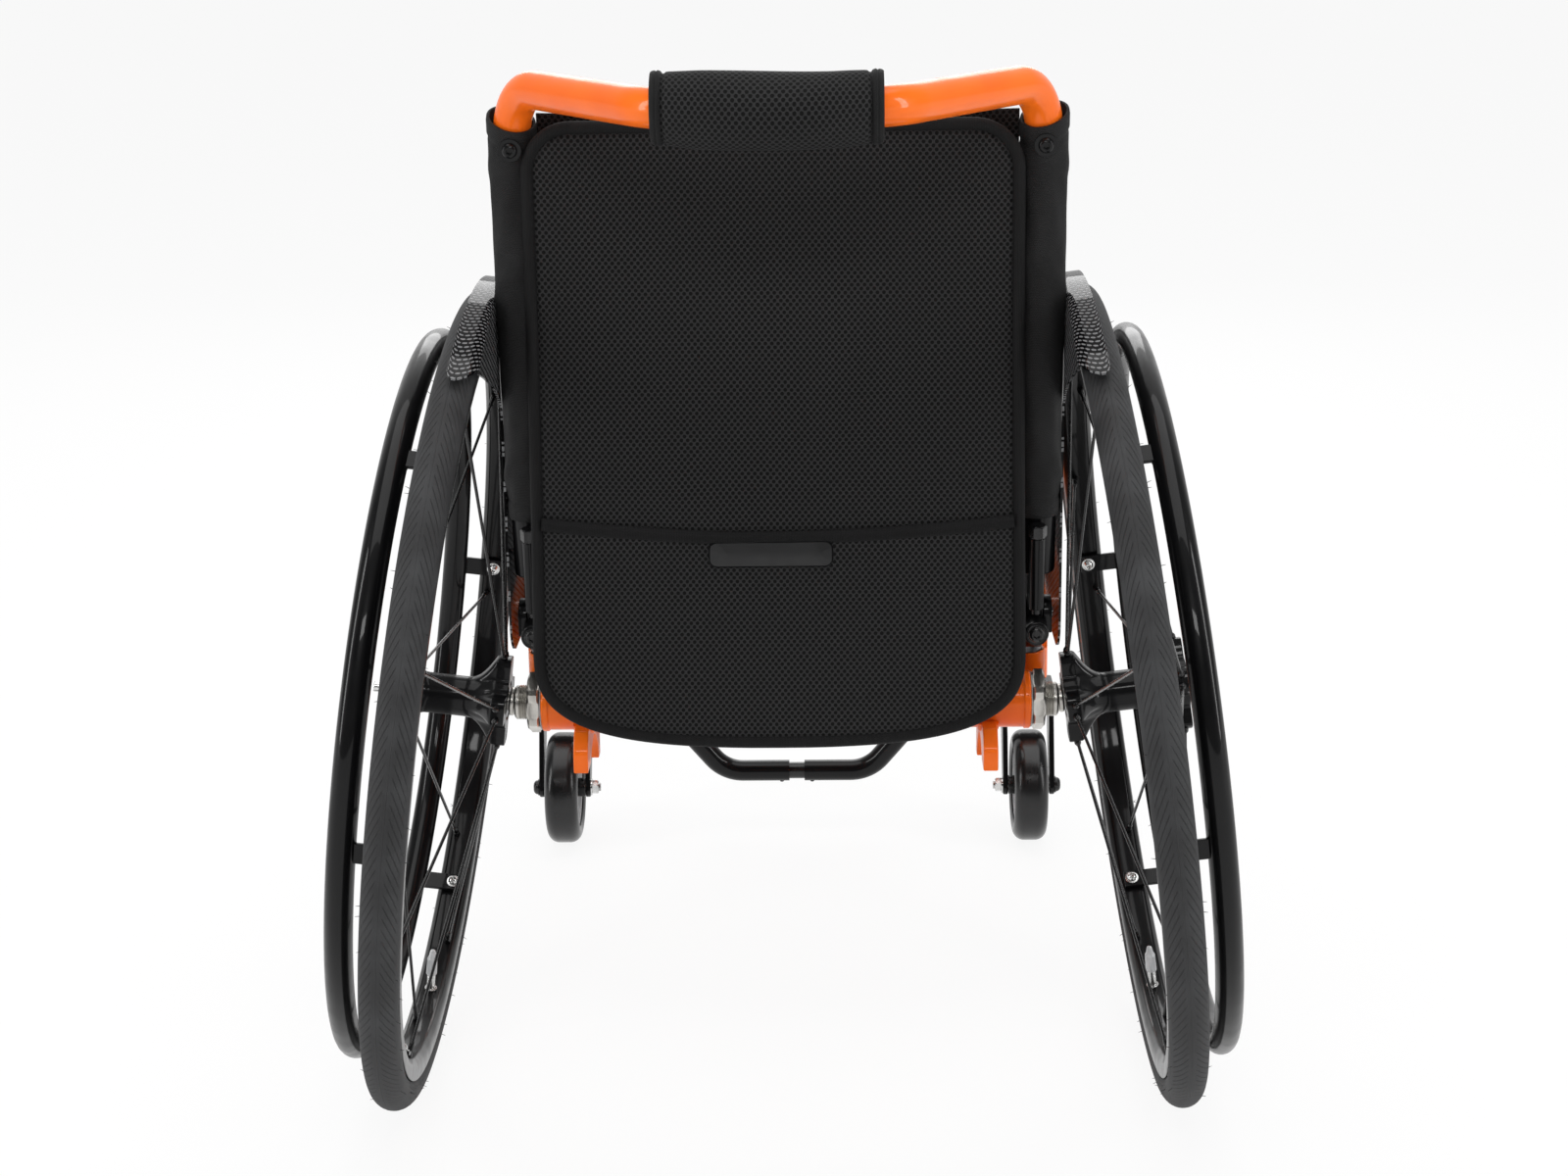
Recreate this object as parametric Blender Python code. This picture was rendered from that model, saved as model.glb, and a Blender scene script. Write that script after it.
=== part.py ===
"""Sports wheelchair with cambered wheels, side guards and a backrest that folds forward.

Sizes are in metres and angles in degrees. The chair is drawn with Y = 0 on the rear axle, Z = 0 on
the floor, +Y forward and +X to the right of the person who sits in it. The "chair" empty then moves
it along Y, so that the middle of its length and width is at the world's origin.
"""

import bmesh
import bpy
from math import asin, cos, degrees, exp, pi, radians, sin, sqrt, tan
from mathutils import Matrix, Vector

# Fits: the gap between pieces that touch, and between a bore and what runs in it
GAP = 0.0003
RUNNING_GAP = 0.0004

# How far a cutter runs past the piece it cuts, and how far joined pieces run into each other
CLEAR = 0.050
SINK = 0.0012

# Sides of the polygons that stand for round shapes, and steps of the tubes' bends
RING_SIDES = 40
ROUND_SIDES = 16
SMALL_SIDES = 12
BORE_SIDES = 24
BEND_STEPS = 4
SMOOTH_ANGLE = 40.0

# Drive wheels, in their own axes
WHEEL_RADIUS = 0.295
CAMBER = 7.0
TYRE_SECTION = 0.0133
TYRE_HEIGHT = 0.029
RIM_DEPTH = 0.008
RIM_FLANGE_HEIGHT = 0.0075
RIM_WIDTH = 0.0244
RIM_WALL = 0.0018
RIM_CHAMFER_WIDTH = 0.003
RIM_CHAMFER_HEIGHT = 0.006
HANDRIM_DROP = 0.0053
HANDRIM_TUBE = 0.0094
HANDRIM_SPACE = 0.0097
HANDRIM_SIDES = 8
TAB_COUNT = 6
TAB_FIRST = 25.0
TAB_WIDTH = 0.014
TAB_THICKNESS = 0.0030
TAB_INNER_END = -0.006
HUB_HALF = 0.044
HUB_FLANGE = 0.033
HUB_FLANGE_THICKNESS = 0.010
HUB_BARREL = 0.0145
HUB_BARREL_HALF = 0.016
SPOKES_PER_SIDE = 8
SPOKE_WIDTH = 0.0026
SPOKE_SPLAY = 22.5
SPOKE_PAIR = 4.0
SPOKE_EDGE = 0.005
SPOKE_RIM_OFFSET = 0.004
SPOKE_SIDES = 4
QUICK_AXLE_RADIUS = 0.0063
QUICK_AXLE_DEPTH = 0.036
QUICK_AXLE_HEAD = 0.010
QUICK_AXLE_HEAD_LENGTH = 0.003
BUTTON_RADIUS = 0.0040
BUTTON_LENGTH = 0.0160
BUTTON_PROUD = 0.0065
BUTTON_TRAVEL = 0.0050

# Seat rails, their rear boss and their front leg; the rails set the chair's width
RAIL_X = 0.174
RAIL_RADIUS = 0.015
RAIL_RISE = 0.010
RAIL_SLOPE = 11.5
RAIL_CORNER_Y = 0.425
RAIL_BEND = 0.060
LEG_INSET = 0.024
LEG_Y = 0.478
BOSS_BEHIND_GAP = 0.0005
BOSS_ABOVE = 0.0275
BOSS_BELOW = 0.0185
BOSS_BORE_DEPTH = 0.031
CROSS_TUBE_RADIUS = 0.0125
CROSS_TUBE_Y = 0.330
CROSS_TUBE_DROP = 0.010
GUARD_TAB_Y = (0.085, 0.235)
GUARD_TAB_WIDTH = 0.020
GUARD_TAB_RISE = 0.030
GUARD_TAB_DROP = 0.006
GUARD_TAB_ROOT = 0.005

# Axle line
AXLE_TUBE_RADIUS = 0.020
AXLE_TUBE_BORE = 0.017
AXLE_TUBE_PAST_RAIL = 0.0015
AXLE_COLLAR_RISE = 0.001
AXLE_COLLAR_LENGTH = 0.0045
AXLE_PLUG_DEPTH = 0.0275
THREAD_RADIUS = 0.0125
THREAD_PROUD = 0.020
THREAD_DEPTH = 0.0175
CAMBER_PIVOT_DEPTH = 0.0037
SLEEVE_NECK = 0.01025
NECK_OVERLAP = 0.0060
NUT_THICKNESS = 0.0092
NUT_CORNERS = 0.023
NUT_INSET = 0.0010

# Arch brackets under the axle tube
ARCH_INSET = 0.02875
ARCH_WIDTH = 0.0105
ARCH_RADIUS = 0.037
ARCH_LEG = 0.011
ARCH_Y = 0.003
ARCH_DROP = 0.0645
ARCH_REAR_FOOT_RISE = 0.026
ARCH_FRONT_FOOT_RISE = 0.007
ARCH_TOP_DROP = 0.0105
ARCH_SHOULDER_DROP = 0.012

# Seat height insert and backrest pivot
INSERT_RADIUS = 0.0125
INSERT_BORE = 0.0095
INSERT_PROUD = 0.0082
INSERT_ROOM = 0.003
HINGE_Y = 0.0
HINGE_RISE = 0.0298
PIVOT_BOSS_RADIUS = 0.0088
PIVOT_BOSS_DROP = 0.007
PIVOT_BOSS_REAR = -0.030
PIVOT_BOSS_FRONT = 0.010
PIVOT_FOOT_HEIGHT = 0.0115
PIVOT_SPIGOT = 0.018
PIVOT_WEB_WIDTH = 0.017
PIVOT_WEB_REAR = -0.008
PIVOT_WEB_HEEL = 0.006
CHEEK_RADIUS = 0.0125
CHEEK_THICKNESS = 0.0063
CHEEK_OVERLAP = 0.005
HINGE_PIN_RADIUS = 0.004
HINGE_PIN_HEAD = 0.0065
HINGE_PIN_HEAD_LENGTH = 0.0018
PIVOT_BOLT_WASHER = 0.0068
PIVOT_BOLT_HEAD = 0.0058
PIVOT_BOLT_SHANK = 0.003
PIVOT_BOLT_DEPTH = 0.010
BOLT_HEAD_HEIGHT = 0.0028
WASHER_THICKNESS = 0.0012

# Backrest, measured along the posts from the hinge
RECLINE = 7.0
POST_OUTSET = 0.0035
POST_RADIUS = 0.0142
POST_WALL = 0.0012
POST_FOOT = 0.034
POST_BORE_DEPTH = 0.090
TONGUE_THICKNESS = 0.0114
TONGUE_RADIUS = 0.011
TONGUE_OVERLAP = 0.004
COVER_BOLT_DROP = 0.0027
COVER_BOLT_WASHER = 0.0078
COVER_BOLT_HEAD = 0.0050
COVER_BOLT_SHANK = 0.0025
SLEEVE_THICKNESS = 0.0018
SLEEVE_PAST_POST = 0.0085
SLEEVE_PAST_BEND = 0.008
SLEEVE_OVER_STOP = 0.003
STOP_RADIUS = 0.00545
STOP_SPACE = 0.0063
STOP_FOOT = 0.012
STOP_REACH = 0.032
STOP_BORE = 0.0033
STOP_WEB = 0.008
STOP_SCREW_RADIUS = 0.0030
STOP_HEAD_CORNERS = 0.0065
STOP_HEAD_LENGTH = 0.009

# Push bar: its height is above the hinge, its places are in the chair's axes
BAR_RISE = 0.381
BAR_BEND = 0.040
BAR_REAR_BEND = 0.065
BAR_MIDDLE_BEND = 0.100
BAR_CORNER_INSET = 0.101
BAR_CORNER_Y = -0.1925
BAR_CENTRE_Y = -0.226
GRIP_HALF = 0.0635
GRIP_MIDDLE = -0.0033
GRIP_PAD = 0.0108
GRIP_END_PAD = 0.0088

# Back cover; the heights of the rear panel count from its lower end
PANEL_DROP = 0.0169
PANEL_PAST_POST = 0.0145
PANEL_INSET = 0.0095
PANEL_LOW_INSET = 0.0051
PANEL_CORNER = 0.035
PANEL_ROUND_HEIGHT = 0.0704
PANEL_ROUND_POWER = 3.0
PANEL_THICKNESS = 0.005
PANEL_BEHIND_ARCH = 0.0005
PANEL_KICK_HEIGHT = 0.330
PANEL_KICK_POWER = 1.6
PANEL_ROWS_MIDDLE = 11
PANEL_COLUMNS = 14
UPHOLSTERY_FOOT = 0.045
UPHOLSTERY_PAST_POST = 0.018
UPHOLSTERY_THICKNESS = 0.005
UPHOLSTERY_SAG = 0.006
UPHOLSTERY_COLUMNS = 6
UPHOLSTERY_ROWS = 5

# Folds of the rear panel: X, height, lean from upright, half width, half length, depth
FOLDS = (
    (0.000, 0.370, 90.0, 0.045, 0.110, -0.004),
    (-0.070, 0.180, -55.0, 0.018, 0.070, 0.004),
    (0.035, 0.250, 15.0, 0.022, 0.080, 0.004),
    (0.095, 0.200, 60.0, 0.016, 0.050, 0.003),
)

# Seat sling between the rails
SLING_OUTSET = 0.004
SLING_BEHIND = 0.0205
SLING_THICKNESS = 0.003
SLING_SAG = 0.005
SLING_COLUMNS = 8
SLING_ROWS = 6

# Side guards: an upright sheet whose top turns out over the tyre as a fender
GUARD_THICKNESS = 0.0016
GUARD_SLEEVE_GAP = 0.0004
GUARD_TYRE_GAP = 0.0005
GUARD_FENDER_GAP = 0.008
GUARD_REAR_ANGLE = -29.0
GUARD_FRONT_ANGLE = 36.0
GUARD_EDGE_OFFSET = 0.003
GUARD_BEND = 0.012
GUARD_REAR_Y = -0.015
GUARD_FRONT_FOOT_Y = 0.262
GUARD_FOOT_RISE = 0.0321
GUARD_SPLIT_RISE = 0.2071
GUARD_CORNER = 0.025
GUARD_EDGE_RISE = 0.2018
GUARD_EDGE_POWER = 0.60
GUARD_END_SHARE = 0.45
GUARD_END_CORNER = 1.9
GUARD_END_SLANT = 4.0

# Points across the fender: share of its width, and turn round the bend
GUARD_ACROSS = ((0.0, 0.0), (0.12, 0.0), (0.40, 0.0), (1.0, 0.0), (1.0, 30.0), (1.0, 60.0), (1.0, 90.0))

# Casters
CASTER_RADIUS = 0.050
CASTER_WIDTH = 0.030
CASTER_SHOULDER = 0.010
CASTER_TYRE_DEPTH = 0.014
CASTER_TYRE_TAPER = 0.002
CASTER_TRAIL = 0.030
CASTER_SIDES = 24
CASTER_SPACER_PROUD = 0.0032
CASTER_SPACER = 0.009
CASTER_HUB_WIDTH = 0.024
CASTER_DISH = 0.003
CASTER_LIP = 0.006
CASTER_AXLE_RADIUS = 0.004
CASTER_WASHER = 0.0075
CASTER_NUT_RADIUS = 0.0065
CASTER_NUT_LENGTH = 0.0055
CASTER_THREAD_PROUD = 0.0020
CASTER_DOME_HEIGHT = 0.0040
BLADE_GAP = 0.0005
BLADE_THICKNESS = 0.0046
BLADE_END = 0.009
BLADE_TOP_HALF = 0.017
CROWN_CLEARANCE = 0.019
CROWN_HEIGHT = 0.020
FORK_COLLAR_RADIUS = 0.012
FORK_COLLAR_HEIGHT = 0.0045
STEM_RADIUS = 0.0065
STEM_AHEAD = 0.005
STEM_BELOW_TOP = 0.004
HOUSING_RADIUS = 0.0182
HOUSING_LENGTH = 0.0465
ARM_LENGTH = 0.0605
ARM_RADIUS = 0.012
ARM_AHEAD = 0.002
ARM_BELOW_TOP = 0.014
LEG_END_BELOW_ARM = 0.011

# Footrest
FOOT_TUBE_RADIUS = 0.0095
FOOT_Z = 0.0513
FOOT_AHEAD = 0.012
FOOT_CORNER_INSET = 0.084
FOOT_BEND = 0.035
FOOT_UPPER_BEND = 0.010
FOOT_UPPER_DROP = 0.013
FOOT_GAP_HALF = 0.007
FOOT_OVERLAP = 0.060
FOOT_SOCKET_ROOM = 0.003
FOOT_ROD_HALF = 0.028
FOOT_ROD_RADIUS = 0.0075

# Wheel sizes that follow
TYRE_RING = WHEEL_RADIUS - TYRE_SECTION
RIM_BED = WHEEL_RADIUS - TYRE_HEIGHT
RIM_INNER = RIM_BED - RIM_DEPTH
RIM_FLANGE = RIM_BED + RIM_FLANGE_HEIGHT
HANDRIM_RADIUS = RIM_INNER - HANDRIM_DROP
HANDRIM_OFFSET = RIM_WIDTH / 2 + HANDRIM_SPACE + HANDRIM_TUBE
SPOKE_ROOT = HUB_FLANGE - SPOKE_EDGE
QUICK_AXLE_INNER_END = -HUB_HALF - QUICK_AXLE_DEPTH

# Places across the chair that follow, from the rails outwards
AXLE_TUBE_HALF = RAIL_X + AXLE_TUBE_PAST_RAIL
THREAD_END = AXLE_TUBE_HALF + THREAD_PROUD
ARCH_X = RAIL_X - ARCH_INSET
LEG_X = RAIL_X - LEG_INSET
CASTER_X = LEG_X + ARM_LENGTH
FOOT_CORNER_X = LEG_X - FOOT_CORNER_INSET
SLING_HALF = RAIL_X + SLING_OUTSET
POST_X = RAIL_X + POST_OUTSET
CHEEK_HALF = TONGUE_THICKNESS / 2 + GAP + CHEEK_THICKNESS
POST_BORE = POST_RADIUS - POST_WALL
SLEEVE_INNER = POST_RADIUS + GAP
SLEEVE_OUTER = SLEEVE_INNER + SLEEVE_THICKNESS
GUARD_X = POST_X + SLEEVE_OUTER + GUARD_SLEEVE_GAP
WHEEL_X = GUARD_X + GUARD_THICKNESS + GUARD_TYRE_GAP + TYRE_SECTION + TYRE_RING * sin(radians(CAMBER))
BAR_RADIUS = POST_BORE - GAP
BAR_CORNER_X = POST_X - BAR_CORNER_INSET
GRIP_RADIUS = BAR_RADIUS + GRIP_PAD
GRIP_END_RADIUS = BAR_RADIUS + GRIP_END_PAD
PANEL_HALF = POST_X - PANEL_INSET
PANEL_LOW_HALF = POST_X - PANEL_LOW_INSET
UPHOLSTERY_HALF = POST_X - SLEEVE_OUTER - GAP
STOP_OFFSET = POST_RADIUS + STOP_SPACE

# Heights that follow, from the floor up
WHEEL_Z = TYRE_RING * cos(radians(CAMBER)) + TYRE_SECTION
AXLE_TUBE_Z = WHEEL_Z - (WHEEL_X - THREAD_END + CAMBER_PIVOT_DEPTH) * tan(radians(CAMBER))
AXLE_COLLAR = AXLE_TUBE_RADIUS + AXLE_COLLAR_RISE
ARCH_Z = AXLE_TUBE_Z - ARCH_DROP
ARCH_REAR_FOOT = ARCH_Z + ARCH_REAR_FOOT_RISE
ARCH_FRONT_FOOT = ARCH_Z + ARCH_FRONT_FOOT_RISE
ARCH_TOP = AXLE_TUBE_Z - ARCH_TOP_DROP
ARCH_SHOULDER = ARCH_TOP - ARCH_SHOULDER_DROP
RAIL_REAR_Z = AXLE_TUBE_Z + RAIL_RISE
BOSS_TOP = AXLE_TUBE_Z + BOSS_ABOVE
BOSS_FOOT = AXLE_TUBE_Z - BOSS_BELOW
BOSS_BORE_FOOT = BOSS_TOP - BOSS_BORE_DEPTH
INSERT_TOP = BOSS_TOP + INSERT_PROUD
INSERT_FOOT = BOSS_BORE_FOOT + INSERT_ROOM
HINGE_Z = INSERT_TOP + HINGE_RISE
PIVOT_BOSS_Z = HINGE_Z - PIVOT_BOSS_DROP
GUARD_RADIUS = WHEEL_RADIUS + GUARD_FENDER_GAP
GUARD_FOOT_Z = WHEEL_Z + GUARD_FOOT_RISE
GUARD_SPLIT_Z = WHEEL_Z + GUARD_SPLIT_RISE
BAR_Z = HINGE_Z + BAR_RISE
CASTER_TYRE_INNER = CASTER_RADIUS - CASTER_TYRE_DEPTH
CROWN_FOOT = 2 * CASTER_RADIUS + CROWN_CLEARANCE
CROWN_TOP = CROWN_FOOT + CROWN_HEIGHT
HOUSING_FOOT = CROWN_TOP + FORK_COLLAR_HEIGHT
HOUSING_TOP = HOUSING_FOOT + HOUSING_LENGTH
STEM_TOP = HOUSING_TOP - STEM_BELOW_TOP
ARM_Z = HOUSING_TOP - ARM_BELOW_TOP
LEG_FOOT_Z = ARM_Z - LEG_END_BELOW_ARM
FOOT_UPPER_Z = LEG_FOOT_Z - FOOT_UPPER_DROP

# Places along the chair that follow
BOSS_Y = AXLE_TUBE_RADIUS + BOSS_BEHIND_GAP + RAIL_RADIUS
ARCH_REAR = ARCH_Y - ARCH_RADIUS - ARCH_LEG
ARCH_FRONT = ARCH_Y + ARCH_RADIUS + ARCH_LEG
SLING_REAR = BOSS_Y + SLING_BEHIND
SLING_FRONT = RAIL_CORNER_Y - RAIL_BEND
STEM_Y = LEG_Y + STEM_AHEAD
CASTER_Y = STEM_Y - CASTER_TRAIL
ARM_Y = LEG_Y + ARM_AHEAD
FOOT_Y = LEG_Y + FOOT_AHEAD
REAR_REACH = TYRE_RING + TYRE_SECTION * cos(radians(CAMBER))
FRONT_REACH = CASTER_Y + CASTER_RADIUS
AXLE_Y = (REAR_REACH - FRONT_REACH) / 2

# Places along the posts that follow, from the push bar's bend downwards
POST_TILT = tan(radians(RECLINE))
POST_WAY = Vector((0.0, -sin(radians(RECLINE)), cos(radians(RECLINE))))
BAR_WAY = Vector((BAR_CORNER_X - POST_X, BAR_CORNER_Y - HINGE_Y + BAR_RISE * POST_TILT, 0.0))
BAR_TURN = BAR_RISE / cos(radians(RECLINE))
SLEEVE_TOP = BAR_TURN - BAR_BEND * tan(POST_WAY.angle(BAR_WAY) / 2) + SLEEVE_PAST_BEND
POST_TOP = SLEEVE_TOP - SLEEVE_PAST_POST
COVER_BOLT_AT = POST_TOP - COVER_BOLT_DROP
UPHOLSTERY_TOP = POST_TOP + UPHOLSTERY_PAST_POST
STOP_TOP = POST_FOOT + STOP_REACH
SLEEVE_FOOT = STOP_TOP + STOP_HEAD_LENGTH + SLEEVE_OVER_STOP
PANEL_TOP = HINGE_Z + (POST_TOP + PANEL_PAST_POST) * cos(radians(RECLINE))
PANEL_FOOT = AXLE_TUBE_Z - PANEL_DROP
PANEL_ROUND_FROM = PANEL_FOOT + PANEL_ROUND_HEIGHT
PANEL_KICK_FROM = PANEL_FOOT + PANEL_KICK_HEIGHT
PANEL_KICK = PANEL_BEHIND_ARCH - ARCH_REAR

# The casters' hub and fork blades
CASTER_HUB_HALF = CASTER_WIDTH / 2 + CASTER_SPACER_PROUD
BLADE_INNER = CASTER_HUB_HALF + BLADE_GAP
FOOT_BORE = FOOT_ROD_RADIUS + GAP

# Colour, roughness and metallic value of each finish
FINISHES = {
    "orange": ((0.90, 0.20, 0.02), 0.25, 0.0),
    "black_metal": ((0.012, 0.012, 0.013), 0.30, 0.0),
    "grey_metal": ((0.10, 0.11, 0.11), 0.35, 0.8),
    "silver": ((0.62, 0.60, 0.57), 0.30, 1.0),
    "rubber": ((0.045, 0.045, 0.047), 0.80, 0.0),
    "carbon": ((0.03, 0.03, 0.032), 0.25, 0.2),
    "fabric": ((0.010, 0.010, 0.011), 0.90, 0.0),
    "rim_grey": ((0.45, 0.46, 0.47), 0.40, 0.3),
}

# Turns that carry the X axis to another axis
TO_Y = Matrix.Rotation(pi / 2, 4, "Z")
TO_Z = Matrix.Rotation(-pi / 2, 4, "Y")
MIRROR_X = Matrix.Scale(-1, 4, (1, 0, 0))
MIRROR_Y = Matrix.Scale(-1, 4, (0, 1, 0))


def clear_scene():
    for thing in list(bpy.data.objects):
        bpy.data.objects.remove(thing, do_unlink=True)


def finish_for(name, finish):
    """A material of its own for one object."""
    colour, roughness, metallic = FINISHES[finish]
    surface = bpy.data.materials.new(name + "_finish")
    surface.use_nodes = True
    shader = surface.node_tree.nodes["Principled BSDF"]
    shader.inputs["Base Color"].default_value = (*colour, 1.0)
    shader.inputs["Roughness"].default_value = roughness
    shader.inputs["Metallic"].default_value = metallic
    surface.diffuse_color = (*colour, 1.0)
    return surface


def add_piece(name, bm, finish, parent):
    """Turn a finished mesh into a named object that hangs on its parent empty."""
    bmesh.ops.remove_doubles(bm, verts=bm.verts, dist=1e-6)
    bmesh.ops.recalc_face_normals(bm, faces=bm.faces)
    mesh = bpy.data.meshes.new(name)
    bm.to_mesh(mesh)
    bm.free()
    mesh.shade_smooth()
    mesh.set_sharp_from_angle(angle=radians(SMOOTH_ANGLE))
    mesh.materials.append(finish_for(name, finish))
    piece = bpy.data.objects.new(name, mesh)
    bpy.context.scene.collection.objects.link(piece)
    piece.parent = parent
    return piece


def add_empty(name, location, parent=None, rotation=(0.0, 0.0, 0.0)):
    empty = bpy.data.objects.new(name, None)
    bpy.context.scene.collection.objects.link(empty)
    empty.parent = parent
    empty.location = location
    empty.rotation_euler = rotation
    return empty


def side_name(name, side):
    return name + ("_right" if side > 0 else "_left")


def moved(bm, matrix):
    bmesh.ops.transform(bm, matrix=matrix, verts=bm.verts)
    return bm


def shifted(bm, x, y, z):
    return moved(bm, Matrix.Translation((x, y, z)))


def evaluated(bm, add_modifier):
    """The mesh after one modifier, which add_modifier puts on a passing object."""
    bmesh.ops.recalc_face_normals(bm, faces=bm.faces)
    mesh = bpy.data.meshes.new("shape")
    bm.to_mesh(mesh)
    bm.free()
    body = bpy.data.objects.new("shape", mesh)
    bpy.context.scene.collection.objects.link(body)
    add_modifier(body)
    bpy.context.view_layer.update()
    result = bmesh.new()
    result.from_object(body, bpy.context.evaluated_depsgraph_get())
    bpy.data.objects.remove(body, do_unlink=True)
    return result


def combined(first, second, operation):
    """UNION, DIFFERENCE or INTERSECT of two closed meshes."""
    bmesh.ops.recalc_face_normals(second, faces=second.faces)
    mesh = bpy.data.meshes.new("tool")
    second.to_mesh(mesh)
    second.free()
    tool = bpy.data.objects.new("tool", mesh)
    tool.hide_render = True
    tool.display_type = "WIRE"
    bpy.context.scene.collection.objects.link(tool)

    def add_modifier(body):
        modifier = body.modifiers.new("combine", "BOOLEAN")
        modifier.operation = operation
        modifier.object = tool

    result = evaluated(first, add_modifier)
    bpy.data.objects.remove(tool, do_unlink=True)
    return result


def joined(first, *others):
    for other in others:
        first = combined(first, other, "UNION")
    return first


def cut(first, *tools):
    for tool in tools:
        first = combined(first, tool, "DIFFERENCE")
    return first


def thickened(sheet, thickness):
    """Give an open sheet an even thickness on the side that its faces look away from."""

    def add_modifier(body):
        modifier = body.modifiers.new("thicken", "SOLIDIFY")
        modifier.thickness = thickness
        modifier.offset = -1.0
        modifier.use_even_offset = True

    return evaluated(sheet, add_modifier)


def turned(outline, sides):
    """Spin an outline of (along, radius) points about the X axis, first corner at the top.

    An outline that starts and ends at radius 0 is a solid, any other one is a closed ring.
    """
    bm = bmesh.new()
    corners = [bm.verts.new((along, 0.0, radius)) for along, radius in outline]
    closing = [] if outline[0][1] == 0.0 else [(corners[-1], corners[0])]
    edges = [bm.edges.new(pair) for pair in list(zip(corners, corners[1:])) + closing]
    bmesh.ops.spin(bm, geom=corners + edges, cent=(0, 0, 0), axis=(1, 0, 0), angle=2 * pi,
                   steps=sides, use_merge=True)
    bmesh.ops.remove_doubles(bm, verts=bm.verts, dist=1e-7)
    return bm


def rod(start, end, radius, sides):
    """A plain round bar along X."""
    return turned([(start, 0.0), (start, radius), (end, radius), (end, 0.0)], sides)


def ring(start, end, inner, outer, sides):
    """A plain tube along X."""
    return turned([(start, inner), (start, outer), (end, outer), (end, inner)], sides)


def prism(outline, start, end):
    """Extrude an outline of (Y, Z) points along X."""
    bm = bmesh.new()
    face = bm.faces.new([bm.verts.new((start, y, z)) for y, z in outline])
    grown = bmesh.ops.extrude_face_region(bm, geom=[face])
    moving = [part for part in grown["geom"] if isinstance(part, bmesh.types.BMVert)]
    bmesh.ops.translate(bm, verts=moving, vec=(end - start, 0.0, 0.0))
    return bm


def box(low, high):
    outline = [(low[1], low[2]), (high[1], low[2]), (high[1], high[2]), (low[1], high[2])]
    return prism(outline, low[0], high[0])


def arc(centre, radius, first, last, steps):
    """Points of an arc in the (Y, Z) plane, with angles counted from +Y towards +Z."""
    angles = [radians(first + (last - first) * step / steps) for step in range(steps + 1)]
    return [(centre[0] + radius * cos(angle), centre[1] + radius * sin(angle)) for angle in angles]


def circle(radius, sides):
    return [(radius * cos(2 * pi * k / sides), radius * sin(2 * pi * k / sides)) for k in range(sides)]


def rounded_path(corners, bends, steps):
    """Points along straight runs whose inner corners are arcs of the given radii."""
    corners = [Vector(corner) for corner in corners]
    path = [corners[0]]
    for before, corner, after, bend in zip(corners, corners[1:], corners[2:], bends):
        way_in = (corner - before).normalized()
        way_out = (after - corner).normalized()
        turn = way_in.angle(way_out)
        start = corner - way_in * (bend * tan(turn / 2))
        centre = corner + (way_out - way_in).normalized() * (bend / cos(turn / 2))
        axis = way_in.cross(way_out).normalized()
        for step in range(steps + 1):
            path.append(centre + Matrix.Rotation(turn * step / steps, 3, axis) @ (start - centre))
    path.append(corners[-1])
    return path


def swept(path, outlines, across=(1.0, 0.0, 0.0)):
    """Carry an outline of (across, over) points along a path and close both ends.

    outlines is one outline for the whole path, or a list with one for each point.
    """
    bm = bmesh.new()
    across = Vector(across)
    if not isinstance(outlines[0], list):
        outlines = [outlines] * len(path)
    rings = []
    for index, (point, outline) in enumerate(zip(path, outlines)):
        ahead = path[min(index + 1, len(path) - 1)]
        behind = path[max(index - 1, 0)]
        along = (ahead - behind).normalized()
        across = (across - along * across.dot(along)).normalized()
        over = along.cross(across)
        rings.append([bm.verts.new(point + across * a + over * o) for a, o in outline])
    for ring_a, ring_b in zip(rings, rings[1:]):
        for k in range(len(ring_a)):
            following = (k + 1) % len(ring_a)
            bm.faces.new((ring_a[k], ring_a[following], ring_b[following], ring_b[k]))
    bm.faces.new(rings[0])
    bm.faces.new(reversed(rings[-1]))
    return bm


def grid_sheet(rows):
    """Faces between rows of points that all have the same length."""
    bm = bmesh.new()
    add_grid(bm, rows)
    return bm


def add_grid(bm, rows):
    """Add one more grid of faces to a mesh."""
    verts = [[bm.verts.new(point) for point in row] for row in rows]
    for low, high in zip(verts, verts[1:]):
        for k in range(len(low) - 1):
            bm.faces.new((low[k], low[k + 1], high[k + 1], high[k]))
    return verts


def between_sheets(front, rear):
    """A closed solid between two grids of points of the same size."""
    bm = bmesh.new()
    rims = []
    for verts in (add_grid(bm, front), add_grid(bm, rear)):
        left = [row[0] for row in verts[::-1]]
        right = [row[-1] for row in verts]
        rims.append(verts[0] + right[1:] + verts[-1][::-1][1:] + left[1:-1])
    for k in range(len(rims[0])):
        following = (k + 1) % len(rims[0])
        bm.faces.new((rims[0][k], rims[0][following], rims[1][following], rims[1][k]))
    return bm


def wheel_matrix():
    """From the right wheel's own axes (X outboard on its axle, Z up its plane) to the chair's."""
    return Matrix.Translation((WHEEL_X, 0.0, WHEEL_Z)) @ Matrix.Rotation(-radians(CAMBER), 4, "Y")


def back_matrix():
    """From the hinge's own axes, with Z up the posts, to the chair's."""
    return Matrix.Translation((0.0, HINGE_Y, HINGE_Z)) @ Matrix.Rotation(radians(RECLINE), 4, "X")


def in_back(x, y, z):
    """A point of the chair in the hinge's own axes."""
    return back_matrix().inverted() @ Vector((x, y, z))


def rail_z(y):
    """Height of the rail's centre line."""
    return RAIL_REAR_Z + (y - BOSS_Y) * tan(radians(RAIL_SLOPE))


def add_both(name, build, finish, parents, mirror=MIRROR_X):
    """Add the right piece as built and the left one as its mirror image."""
    for side, parent in parents.items():
        bm = build()
        if side < 0:
            moved(bm, mirror)
        add_piece(side_name(name, side), bm, finish, parent)


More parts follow.
